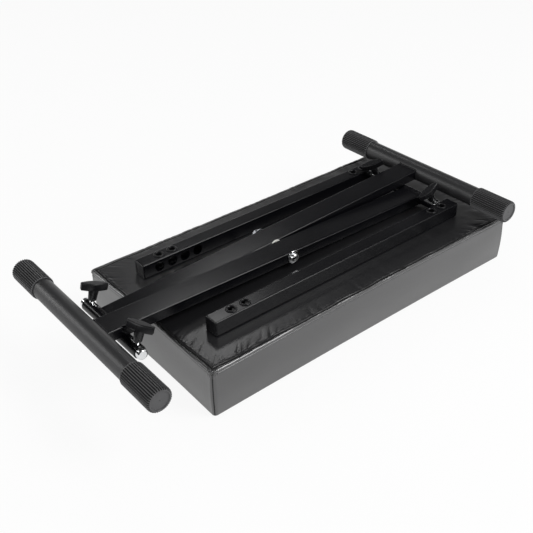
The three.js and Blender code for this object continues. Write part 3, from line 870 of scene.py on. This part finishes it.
# %% Stitches
thread_width, stitch_length, stitch_pitch = 0.9 * mm, 3.2 * mm, 4 * mm
stitch_inset, stitch_height = 8.9 * mm, 78.2 * mm
heights = np.linspace(5 * mm, 73 * mm, 30)
inward = thread_width + side_bow * (1 - np.sin(math.pi * (heights - sole_curve) / side_height))
stitch_lines = []
for i in corner_middles:
    stitch_lines.append([(*(outline[i] - outward[i] * w), h) for h, w in zip(heights, inward)])
seam_base, _ = seat_ring(stitch_inset)
seam_line = [(x, y, stitch_height) for x, y in seam_base + outward * seam_swing[:, None]]
stitch_lines.append(seam_line + seam_line[:1])
stitch = (stitch_pitch, stitch_length, thread_width, thread_width)
stitches = beads("seat_stitches", stitch_lines, thread, *stitch, 0.1, 7)
dressed(stitches, thread, "seat")

# %% [markdown]
# ## Rails
#
# Two square steel tubes carry the frame. On top each has two pairs of access holes, through which
# the screws are driven. On its inner face a rail has four latch holes and one hinge hole, and each
# end has a moulded plug. The tube is a bar with a bore and its holes cut out, and a fine bevel on
# every hole, which catches the light as a thin ring.

# %% Rails
def rod(radius, length, matrix, steps=48):
    """A plain rod along Z, centred, set in place by a matrix."""
    return put(turned("rod", [(radius, -length / 2), (radius, length / 2)], steps), matrix)


drill_length = 16 * mm
rail_bore_corner, hole_bevel = 0.8 * mm, 0.3 * mm


def build_rail(name, side):
    tube = bar(name, rail_size, rail_size, rail_corner, rail_left, rail_right)
    bore = rail_size - 2 * rail_wall
    carved(tube, [bar("bore", bore, bore, rail_bore_corner, rail_left - overrun, rail_right + overrun)])
    holes = [rod(access_radius, drill_length, Matrix.Translation((x, 0, rail_size / 2))) for x in screw_x]
    for x in [*latch_x, hinge_x]:
        wall = Matrix.Translation((x, -side * rail_size / 2, 0))
        holes.append(rod(latch_radius, drill_length, wall @ Z_TO_Y))
    carved(tube, holes)
    put(tube, Matrix.Translation((0, side * rail_y, rail_z)))
    return eased(tube, hole_bevel)


for side_name, side in sides.items():
    rail = build_rail(f"rail_tube_{side_name}", side)
    dressed(rail, powder_coat, "seat", [f"rail_{side_name}"])
print("rail faces:", len(rail.data.polygons))

# %% [markdown]
# Each access hole is lined with a small black grommet whose rim stands proud of the rail. Its
# outline is half an oval on a short skirt, turned about the screw's line.

# %% Grommets in the access holes
grommet_inner, grommet_skirt, grommet_low = 5.35 * mm, 5.58 * mm, -2.2 * mm
grommet_top, rim_foot = 1.0 * mm, 0.05 * mm
rim_middle, rim_width = 6.9 * mm, 1.55 * mm
rim_low, rim_height, rim_steps = 0.7 * mm, 1.2 * mm, 9


def build_grommet():
    outline = [(grommet_inner, grommet_low), (grommet_inner, grommet_top)]
    for i in range(1, rim_steps + 1):
        a = math.pi * (1 - i / rim_steps)
        outline.append((rim_middle + rim_width * math.cos(a), rim_low + rim_height * math.sin(a)))
    outline += [(rim_middle + rim_width, rim_foot), (grommet_skirt, rim_foot)]
    outline.append((grommet_skirt, grommet_low))
    return put(turned("grommet", outline, 40, loop=True), Matrix.Translation((0, 0, rail_size / 2)))


rims = []
for side in sides.values():
    for x in screw_x:
        rims.append(put(build_grommet(), Matrix.Translation((x, side * rail_y, rail_z))))
dressed(eased(joined("access_hole_grommets", rims)), moulded, "seat")

# %% Rail plugs
plug_thickness, plug_edge = 1.7 * mm, 0.5 * mm
dish_margin, dish_corner, dish_floor, dish_reach = 7 * mm, 1.5 * mm, 1.2 * mm, 3 * mm
skirt_margin, skirt_corner, skirt_length, skirt_lap = 3.6 * mm, 1 * mm, 4 * mm, 0.2 * mm
plug_bevel = 0.2 * mm


def build_plug(name, x, end, side):
    """A moulded plug: an eased square flange with a shallow recess, and a skirt in the tube."""
    flange = bar("flange", rail_size, rail_size, rail_corner, 0, plug_thickness, plug_edge)
    dish, inside = rail_size - dish_margin, rail_size - skirt_margin
    carved(flange, [bar("dish", dish, dish, dish_corner, dish_floor, dish_reach)])
    skirt = bar("skirt", inside, inside, skirt_corner, -skirt_length, skirt_lap)
    plug = joined(name, [flange, skirt])
    turn = Matrix.Identity(4) if end > 0 else Matrix.Rotation(math.pi, 4, "Z")
    put(plug, Matrix.Translation((x + end * gap, side * rail_y, rail_z)) @ turn)
    return eased(plug, plug_bevel)


for side_name, side in sides.items():
    for end_name, end, x in (("left", -1, rail_left), ("right", 1, rail_right)):
        plug = build_plug(f"plug_{side_name}_{end_name}", x, end, side)
        dressed(plug, moulded, "seat", [f"rail_plug_{side_name}_{end_name}"])

# %% [markdown]
# The eight seat screws are alike, so Geometry Nodes set one screw on eight points. The screw is
# turned from its outline, and its head has a hexagon socket cut in it.

# %% Seat screws
def place_tree():
    inputs = {"Points": "Geometry", "Copy": "Object", "Turn": "Float", "Seed": "Int", "Finish": "Material"}
    board, given = new_tree("copies on points", inputs, "Copies")
    shape = board.make("GeometryNodeObjectInfo", None, {"Object": given.out("Copy")}, "Geometry")
    draw = {2: 0.0, 3: 1.0, "Seed": given.out("Seed")}
    chance = board.make("FunctionNodeRandomValue", {"data_type": "FLOAT"}, draw, 1)
    turn = board.make("ShaderNodeCombineXYZ", None, {"Z": chance * given.out("Turn")})
    each = {"Points": given, "Instance": shape, "Rotation": turn}
    copies = board.make("GeometryNodeInstanceOnPoints", None, each)
    real = board.make("GeometryNodeRealizeInstances", None, {0: copies})
    return hand_out(board, real, given)


copies_on = place_tree()

# The screw's outline, in millimetres: radius, and height above the underside of its head.
screw_rows = [(3, -13.5), (3, 0), (5.1, 0.1), (5.25, 0.5), (5.1, 1.4), (4.3, 2.5), (2.8, 3.2)]
head_low, socket_radius, socket_floor, screw_bevel = 81.8 * mm, 2.3 * mm, 1.2 * mm, 0.1 * mm


def build_screws():
    screw = turned("one screw", [(r * mm, head_low + h * mm) for r, h in screw_rows], 40)
    floor, mouth = head_low + socket_floor, head_low + overrun
    socket = turned("socket", [(socket_radius, floor), (socket_radius, mouth)], 6)
    eased(carved(screw, [socket]), screw_bevel)
    spots = piece("seat_screws", [(x, side * rail_y, 0) for side in sides.values() for x in screw_x], [])
    screws = grown(spots, copies_on, {"Copy": screw, "Turn": 2.0, "Seed": 4, "Finish": oxide})
    bpy.data.objects.remove(screw)
    return screws


screws = build_screws()
screw_nodes = [f"seat_screw_{side}_{i}" for side in sides for i in range(1, 5)]
dressed(screws, oxide, "seat", screw_nodes)
print("screws faces:", len(screws.data.polygons))

# %% [markdown]
# ## Legs
#
# Each leg is a flat rectangular tube with a round tube welded across each end. Both ends of the
# flat tube are coped, which means cut round so that they fit the tubes. The long edges are rounded
# and show as fine bright lines.

# %% Leg tubes
cope_gap, cutter_length = 0.1 * mm, 60 * mm
leg_bore_corner = 1.2 * mm


def build_leg(name, leg):
    cross_x, foot_x = to_cross[leg] * arm, -to_cross[leg] * foot_arm
    low, high = sorted([cross_x, foot_x])
    tube = bar(name, leg_width, leg_thickness, leg_corner, low, high)
    bore = (leg_width - 2 * leg_wall, leg_thickness - 2 * leg_wall)
    carved(tube, [bar("bore", *bore, leg_bore_corner, low - overrun, high + overrun)])
    cuts = []
    for x, radius in ((cross_x, cross_radius), (foot_x, foot_radius)):
        cuts.append(rod(radius + cope_gap, cutter_length, Matrix.Translation((x, 0, 0)) @ Z_TO_Y, 96))
    cuts.append(rod(bolt_hole_radius, cutter_length, Z_TO_Y))
    carved(tube, cuts)
    put(tube, leg_frame[leg] @ Matrix.Translation((0, leg_side[leg], 0)))
    return eased(tube)


for leg in "ab":
    tube = build_leg(f"leg_{leg}_flat_tube", leg)
    dressed(tube, powder_coat, f"leg_{leg}", [f"leg_{leg}_tube"])
print("leg faces:", len(tube.data.polygons))

# %% Cross tubes, with the slots that the handles slide in
def hollow(name, radius, wall, half, edge=0.4 * mm, steps=96):
    """A tube along Y with eased ends."""
    inner = radius - wall
    outline = [(inner, -half), (radius - edge, -half), (radius, -half + edge)]
    outline += [(radius, half - edge), (radius - edge, half), (inner, half)]
    return put(turned(name, outline, steps, loop=True), Z_TO_Y)


slot_depth, slot_flat, slot_bevel = 15 * mm, 0.01 * mm, 0.15 * mm


def build_cross(name, leg):
    tube = hollow(name, cross_radius, cross_wall, cross_half)
    ring = rounded(2 * slot_radius, slot_to - slot_from, slot_radius - slot_flat, 12)
    tilt = Matrix.Rotation(handle_tilt[leg], 4, "Y")
    slots = []
    for side in sides.values():
        slot = piece("slot", *skin([[(u, v, height) for u, v in ring] for height in (0, slot_depth)]))
        slots.append(put(slot, tilt @ Matrix.Translation((0, side * (slot_from + slot_to) / 2, 0))))
    carved(tube, slots)
    put(tube, cross_frame[leg])
    return eased(tube, slot_bevel)


for leg in "ab":
    tube = build_cross(f"leg_{leg}_round_cross_tube", leg)
    dressed(tube, powder_coat, f"leg_{leg}", [f"leg_{leg}_cross_tube"])

# %% Foot tubes
for leg in "ab":
    tube = hollow(f"leg_{leg}_round_foot_tube", foot_radius, foot_wall, foot_half - cap_floor - gap)
    put(tube, foot_frame[leg])
    dressed(eased(tube), foot_coat, f"leg_{leg}", [f"leg_{leg}_foot_tube"])

# %% [markdown]
# The welds between the flat tube and the round ones are fillets with a rippled surface, coated
# black with the rest. The tree that made the stitches makes them too, with fatter beads set so
# close that they run into one another.

# %% Welds
weld_sink, weld_step, weld_margin = 0.2 * mm, 0.5 * mm, 2 * mm


def weld_line(leg, centre_x, radius, up, toward):
    """A line across the leg where its flat face meets a round tube."""
    height = up * (leg_thickness / 2 - weld_sink)
    x = centre_x + toward * (math.sqrt(radius**2 - height**2) + weld_step)
    half = leg_width / 2 - weld_margin
    along = np.linspace(-half, half, 12)
    return [leg_frame[leg] @ Vector((x, leg_side[leg] + y, height)) for y in along]


# Pitch, length, width and height of a ripple.
weld_bead = (1.6 * mm, 3.4 * mm, 3.0 * mm, 2.6 * mm)
for leg in "ab":
    lines = []
    for centre, radius in ((to_cross[leg] * arm, cross_radius), (-to_cross[leg] * foot_arm, foot_radius)):
        toward = -1 if centre > 0 else 1
        for up in (-1, 1):
            lines.append(weld_line(leg, centre, radius, up, toward))
    welds = beads(f"leg_{leg}_welds", lines, powder_coat, *weld_bead, 0.12, 21)
    dressed(welds, powder_coat, f"leg_{leg}")

# %% [markdown]
# ## Ribbed foot caps
#
# A rubber sleeve is pushed over each end of the foot tubes. It has 34 ribs along its length, which
# run on over its rounded end, and a shallow round recess in the end face. Its shape follows a rule,
# so it is turned as a plain cap, and Geometry Nodes then press the grooves into it: each point is
# pushed towards the axis by an amount that depends on its angle and on its place along the cap.

# %% A tree for ribs around an axis
def rib_tree():
    inputs = {"Cap": "Geometry"}
    inputs.update({name: "Float" for name in ("Ribs", "Depth", "From", "To", "Fade", "Skin")})
    inputs["Finish"] = "Material"
    board, given = new_tree("ribs around an axis", inputs, "Ribbed")
    place = board.make("GeometryNodeInputPosition")
    x = board.make("ShaderNodeSeparateXYZ", None, {0: place}, "X")
    y, z = x.out("Y"), x.out("Z")

    def ramp(low, high):
        share = {"Value": z, "From Min": low, "From Max": high}
        return board.make("ShaderNodeMapRange", {"interpolation_type": "SMOOTHSTEP"}, share)

    angle = board.make("ShaderNodeMath", {"operation": "ARCTAN2"}, {0: y, 1: x})
    turn = board.make("ShaderNodeMath", {"operation": "COSINE"}, {0: angle * given.out("Ribs")})
    groove = (0.5 - 0.5 * turn) ** 0.8
    radius = (x * x + y * y) ** 0.5
    start = ramp(given.out("From"), given.out("From") + given.out("Fade"))
    stop = ramp(given.out("To"), given.out("To") - given.out("Fade"))
    sunk = groove * start * stop * (radius > given.out("Skin"))
    keep = 1 - sunk * given.out("Depth") / radius
    moved = board.make("ShaderNodeCombineXYZ", None, {"X": x * keep, "Y": y * keep, "Z": z})
    # How far each point is pressed in is kept as sunk: the finish paints the grooves black as painted
    # shade, and the rib tops lighter as a painted highlight.
    mark = {"Geometry": given, "Name": "sunk", "Value": sunk}
    kept = board.make("GeometryNodeStoreNamedAttribute", {"data_type": "FLOAT", "domain": "POINT"}, mark)
    ribbed = board.make("GeometryNodeSetPosition", None, {0: kept, "Position": moved})
    return hand_out(board, ribbed, given)


ribs_around = rib_tree()

# %% Foot caps
rib_count, rib_depth, rib_fade, rib_floor = 34, 1.9 * mm, 1.8 * mm, 0.2 * mm
rib_start, rib_overrun = 0.2 * mm, 1.2 * mm
# In millimetres. Mouth and end: how far inside the cap's radius, and how far from the mouth or
# from the end. Wall: how far from the mouth. Dimple: radius, and how far from the end.
mouth_rows = [(1.4, 0), (0.6, 0.3), (0.1, 1.0), (0, 1.8)]
wall_rows = [4, 12, 20, 30, 40, 50, 57, 59, 60, 61]
end_rows = [(0.15, 2.8), (0.6, 1.6), (1.5, 0.6), (2.8, 0.1), (4.0, 0), (4.4, 0.1), (4.7, 0.5), (4.9, 1.3)]
end_rows += [(5.8, 1.5)]
dimple_rows = [(1.3, 1.5), (1.0, 2.0), (0.3, 2.2)]


def build_cap(name):
    """A cap along Z with its mouth at 0 and its end at the cap's length."""
    bore, floor = foot_radius + gap, cap_length - cap_floor
    outline = [(cap_radius - x * mm, z * mm) for x, z in mouth_rows]
    outline += [(cap_radius, z * mm) for z in wall_rows]
    outline += [(cap_radius - x * mm, cap_length - z * mm) for x, z in end_rows]
    outline += [(r * mm, cap_length - z * mm) for r, z in dimple_rows]
    outline += [(outline[-1][0], floor), (bore, floor), (bore, 0)]
    cap = turned(name, outline, rib_count * 10, loop=True)
    values = {"Ribs": float(rib_count), "Depth": rib_depth, "From": rib_start, "Fade": rib_fade}
    values.update({"To": cap_length + rib_overrun, "Skin": bore + rib_floor, "Finish": rubber})
    return eased(grown(cap, ribs_around, values), angle=60)


for leg in "ab":
    for side_name, side in sides.items():
        cap = build_cap(f"foot_cap_{leg}_{side_name}")
        shift = Matrix.Translation((0, side * (foot_half - cap_length), 0))
        put(cap, foot_frame[leg] @ shift @ outwards_at[side])
        dressed(cap, rubber, f"leg_{leg}", [f"leg_{leg}_cap_{side_name}"])
print("cap faces:", len(cap.data.polygons))

# %% [markdown]
# ## Pivot
#
# A bolt with a domed head goes through both legs. A washer sits under its head and under its nut,
# and a nylon washer keeps the legs apart. The nut is a hexagon cut down by a cone on both sides,
# as a real nut is chamfered.

# %% Pivot pieces
face_y = 41.3 * mm
washer_radius, washer_thickness, washer_edge = 10.5 * mm, 1.5 * mm, 0.25 * mm
spacer_half = 0.7 * mm
outer_y = face_y + washer_thickness + gap


def washer(name, low, high):
    rim, flat = washer_radius, washer_radius - washer_edge
    outline = [(bolt_hole_radius, low), (flat, low), (rim, low + washer_edge)]
    outline += [(rim, high - washer_edge), (flat, high), (bolt_hole_radius, high)]
    return put(put(turned(name, outline, 56, loop=True), Z_TO_Y), leg_frame["a"])


near_washer = washer("pivot_near_washer", -face_y - washer_thickness, -face_y)
far_washer = washer("pivot_far_washer", face_y, face_y + washer_thickness)
spacer = washer("pivot_middle_washer", -spacer_half, spacer_half)
dressed(eased(near_washer), zinc, "leg_a", ["pivot_washer_near"])
dressed(eased(far_washer), dull_zinc, "leg_a", ["pivot_washer_far"])
dressed(eased(spacer), nylon, "leg_a", ["pivot_spacer"])

head_radius, head_height, dome_height, dome_steps = 6.5 * mm, 4.5 * mm, 3.9 * mm, 8
head_edge, pole_radius, bolt_tip_radius = 0.2 * mm, 0.5 * mm, 3.3 * mm
thread_pitch, thread_root = 1.25 * mm, 3.5 * mm
thread_start, bolt_reach = 2 * mm, 8.5 * mm


def build_bolt():
    top = outer_y + head_height
    outline = [(pole_radius, -top)]
    for i in range(1, dome_steps + 1):
        a = math.pi / 2 * i / dome_steps
        outline.append((head_radius * math.sin(a), -top + dome_height * (1 - math.cos(a))))
    outline += [(head_radius, -outer_y - head_edge), (head_radius - head_edge, -outer_y)]
    thread_low, thread_high = outer_y - thread_start, outer_y + bolt_reach
    outline += [(bolt_radius, -outer_y), (bolt_radius, thread_low)]
    for k in range(int((thread_high - thread_low) / thread_pitch)):
        h = thread_low + thread_pitch * k
        outline += [(thread_root, h + 0.4 * thread_pitch), (bolt_radius, h + thread_pitch)]
    outline.append((bolt_tip_radius, thread_high))
    return put(put(turned("pivot_through_bolt", outline, 48), Z_TO_Y), leg_frame["a"])


dressed(eased(build_bolt(), angle=55), zinc, "leg_a", ["pivot_bolt"])

nut_radius, nut_height, nut_chamfer, nut_bore = 7.5 * mm, 6.5 * mm, 0.6 * mm, 4.25 * mm
cone_radius, cone_growth = 6.6 * mm, 1 * mm


def build_nut():
    low, high = outer_y, outer_y + nut_height
    nut = turned("pivot_lock_nut", [(nut_radius, low), (nut_radius, high)], 6)
    wide = cone_radius + cone_growth
    sides_of_cone = [(wide, low + nut_chamfer), (wide, high - nut_chamfer)]
    cone = turned("cone", [(cone_radius, low), *sides_of_cone, (cone_radius, high)], 64)
    keep = nut.modifiers.new("keep", "BOOLEAN")
    keep.operation = "INTERSECT"
    keep.solver = "EXACT"
    keep.object = cone
    settle(nut)
    bpy.data.objects.remove(cone)
    bore = turned("bore", [(nut_bore, low - overrun), (nut_bore, high + overrun)], 40)
    carved(nut, [bore])
    return put(put(nut, Z_TO_Y), leg_frame["a"])


dressed(eased(build_nut(), 0.1 * mm), dull_zinc, "leg_a", ["pivot_nut"])

# %% [markdown]
# ## Locking pins and T handles
#
# In each end of a cross tube slides a bright pin. A threaded stud joins it through the slot to a
# moulded T handle, with which the pin is pulled out of its hole. The T's bar is wide in the middle
# and narrow at its ends, with eased edges, and its stem tapers to the stud.

# %% Locking pins
pin_edge, pin_round, round_steps = 0.6 * mm, 2.6 * mm, 6
stud_hole_radius, stud_hole_length = 3.3 * mm, 10 * mm


def build_pin(name, leg, side):
    tip, back = pin_tip[leg], pin_tip[leg] - pin_length
    outline = [(pin_radius - pin_edge, back), (pin_radius, back + pin_edge), (pin_radius, tip - pin_round)]
    for i in range(1, round_steps + 1):
        a = math.pi / 2 * i / round_steps
        outline.append((pin_radius - pin_round * (1 - math.cos(a)), tip - pin_round * (1 - math.sin(a))))
    pin = put(turned(name, outline, 72), outwards_at[side])
    surface = Matrix.Translation((0, side * (tip - stud_inset), pin_radius))
    tilt = Matrix.Rotation(handle_tilt[leg], 4, "Y")
    carved(pin, [rod(stud_hole_radius, stud_hole_length, tilt @ surface, 32)])
    return eased(put(pin, cross_frame[leg]))


def handle_place(leg, side_name):
    """Where a handle stands: on the stud's line, turned about it."""
    side = sides[side_name]
    shift = Matrix.Translation((0, side * (pin_tip[leg] - stud_inset), 0))
    turn = Matrix.Rotation(math.radians(handle_turn[f"{leg}_{side_name}"]), 4, "Z")
    return cross_frame[leg] @ shift @ Matrix.Rotation(handle_tilt[leg], 4, "Y") @ turn


for leg in "ab":
    for side_name, side in sides.items():
        place = f"{leg}_{side_name}"
        pin = build_pin(f"locking_pin_{place}", leg, side)
        dressed(pin, zinc, f"locking_pin_{place}", [f"pin_{place}"])

# %% T handles and their studs
def lens(length, width, end, count=14):
    """The outline of the T's bar: bowed sides between narrow ends."""
    points = []
    for i in range(count + 1):
        t = -1 + 2 * i / count
        points.append((t * length / 2, -(end / 2 + (width - end) / 2 * math.cos(math.pi / 2 * t) ** 1.1)))
    return points + [(-x, -y) for x, y in points]


# In millimetres: height above the bar's underside and growth of its outline, then the stem's
# outline as radius and height, counted from one gap above the cross tube.
bar_rows = [(0, -1.6), (0.7, -0.7), (2.0, -0.2), (9.8, 0.0), (11.2, -0.25), (11.8, -0.8), (12, -1.6)]
stem_rows = [(3.3, 2.4), (5.0, 2.4), (5.7, 2.9), (6.1, 3.8), (6.8, 12), (7.2, 16), (7.5, 18), (7.5, 20)]
stem_rows += [(3.3, 20)]


def build_handle(name, leg, side_name):
    base = cross_radius + gap
    rings = []
    for height, growth in bar_rows:
        grow = growth * mm
        ring = lens(handle_length + 2 * grow, handle_width + 2 * grow, handle_end + 1.6 * grow)
        rings.append([(x, y, base + handle_lift + height * mm) for x, y in ring])
    head = piece("head", *skin(rings))
    stem = turned("stem", [(r * mm, base + h * mm) for r, h in stem_rows], 48, loop=True)
    handle = joined(name, [head, stem])
    put(handle, handle_place(leg, side_name))
    return eased(handle, angle=50)


stud_radius, stud_root, stud_pitch = 3.0 * mm, 2.55 * mm, 1.0 * mm
stud_low, stud_reach, stud_tip_radius = 3.6 * mm, 12 * mm, 2.2 * mm


def build_stud(name, leg, side_name):
    high = cross_radius + gap + stud_reach
    outline = [(stud_tip_radius, stud_low)]
    for k in range(int((high - stud_low) / stud_pitch)):
        h = stud_low + stud_pitch * k
        outline += [(stud_radius, h + 0.35 * stud_pitch), (stud_root, h + 0.9 * stud_pitch)]
    stud = turned(name, outline, 28)
    put(stud, handle_place(leg, side_name))
    return eased(stud, angle=70)


for leg in "ab":
    for side_name in sides:
        place = f"{leg}_{side_name}"
        handle = build_handle(f"t_handle_{place}", leg, side_name)
        dressed(handle, moulded, f"t_handle_{place}", [f"handle_{place}"])
        stud = build_stud(f"threaded_stud_{place}", leg, side_name)
        dressed(stud, zinc, f"t_handle_{place}", [f"stud_{place}"])

# %% [markdown]
# ## Pieces that stay as they are
#
# The board, the tee nuts, the sleeves round the bolt and the pin stops are right as solids. They
# only get a finish.

# %% Finishes for the inner solids
inner = {"seat_board": plywood, "pivot_sleeve_a": dull_zinc, "pivot_sleeve_b": dull_zinc}
inner.update({"leg_a_pin_stop": dull_zinc, "leg_b_pin_stop": dull_zinc})
inner.update({f"tee_nut_{side}_{i}": zinc for side in sides for i in range(1, 5)})
for name, material in inner.items():
    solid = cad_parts[name]
    if not solid.material_slots:
        solid.data.materials.append(material)
    solid.material_slots[0].material = material
left = [n for n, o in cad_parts.items() if not o.hide_render and n not in inner]
print("solids that keep their plain colour:", left)

# %% [markdown]
# ## Light and floor
#
# The picture is a plain product shot on white, with soft lights. A black thing on white is drawn
# by what it mirrors. To mirrored rays the world is bright near the horizon and dark overhead, so
# that flat tops come out darker than sides. Four lamps are added: a large one in front, high on the
# right; a small one high behind on the right, aimed at the left end; a broad low one on the left;
# and one behind on the left. The floor and the world show white to the camera, and the floor keeps
# a faint shadow.

# %% Floor and world
floor_half = 6.0


def make_floor():
    corners = [(x * floor_half, y * floor_half, 0) for x, y in ((-1, -1), (1, -1), (1, 1), (-1, 1))]
    floor = piece("floor", corners, [(0, 1, 2, 3)])
    material, board = new_finish("white floor")
    seen = board.make("ShaderNodeLightPath", take="Is Camera Ray")
    mirrored = seen.out("Is Glossy Ray")
    matt = board.make("ShaderNodeBsdfDiffuse", None, {"Color": (0.8, 0.8, 0.8, 1)})
    glow = board.make("ShaderNodeEmission", None, {"Color": (1, 1, 1, 1), "Strength": 1.0})
    shader = board.make("ShaderNodeMixShader", None, {0: seen * 0.9 + mirrored * 0.4, 1: matt, 2: glow})
    board.make("ShaderNodeOutputMaterial", None, {"Surface": shader})
    floor.data.materials.append(material)


make_floor()

world = bpy.data.worlds.new("studio")
bpy.context.scene.world = world
world.use_nodes = True
world.node_tree.nodes.clear()
board = Board(world.node_tree)
seen = board.make("ShaderNodeLightPath", take="Is Camera Ray")
mirrored = seen.out("Is Glossy Ray")
compass = board.make("ShaderNodeTexCoord", take="Generated")
height = board.make("ShaderNodeSeparateXYZ", None, {0: compass}, "Z")
haze = board.make(
    "ShaderNodeMapRange", {"interpolation_type": "SMOOTHSTEP"},
    {"Value": height, "From Min": 0.04, "From Max": 0.50, "To Min": 1.0, "To Max": 0.06},
)
room = board.make("ShaderNodeBackground", None, {"Color": (1, 1, 1, 1), "Strength": 0.45})
walls = board.make("ShaderNodeBackground", None, {"Color": (1, 1, 1, 1), "Strength": haze})
white = board.make("ShaderNodeBackground", None, {"Color": (1, 1, 1, 1), "Strength": 1.0})
lit = board.make("ShaderNodeMixShader", None, {0: mirrored, 1: room, 2: walls})
mixed = board.make("ShaderNodeMixShader", None, {0: seen, 1: lit, 2: white})
board.make("ShaderNodeOutputWorld", None, {"Surface": mixed})

# %% Lights
def softbox(name, place, target, width, height, power):
    lamp = bpy.data.lights.new(name, "AREA")
    lamp.shape = "RECTANGLE"
    lamp.size, lamp.size_y = width, height
    lamp.energy = power
    made = placed(name, lamp)
    made.location = place
    made.rotation_mode = "QUATERNION"
    made.rotation_quaternion = (Vector(target) - Vector(place)).to_track_quat("-Z", "Y")


softbox("key light", (0.85, -1.55, 1.85), (0, 0, 0.08), 1.2, 1.2, 42)
softbox("high light", (0.77, 1.43, 1.70), (-0.29, -0.15, 0.08), 0.32, 0.32, 2.5)
softbox("left light", (-2.3, -0.3, 0.7), (0, 0, 0.08), 1.6, 1.0, 14)
softbox("back light", (-1.6, 1.9, 1.2), (0, 0, 0.05), 1.2, 0.8, 12)

# %% [markdown]
# ## The end
#
# The last step shows colours through the Standard view transform.

# %% The end
bpy.context.scene.view_settings.view_transform = "Standard"
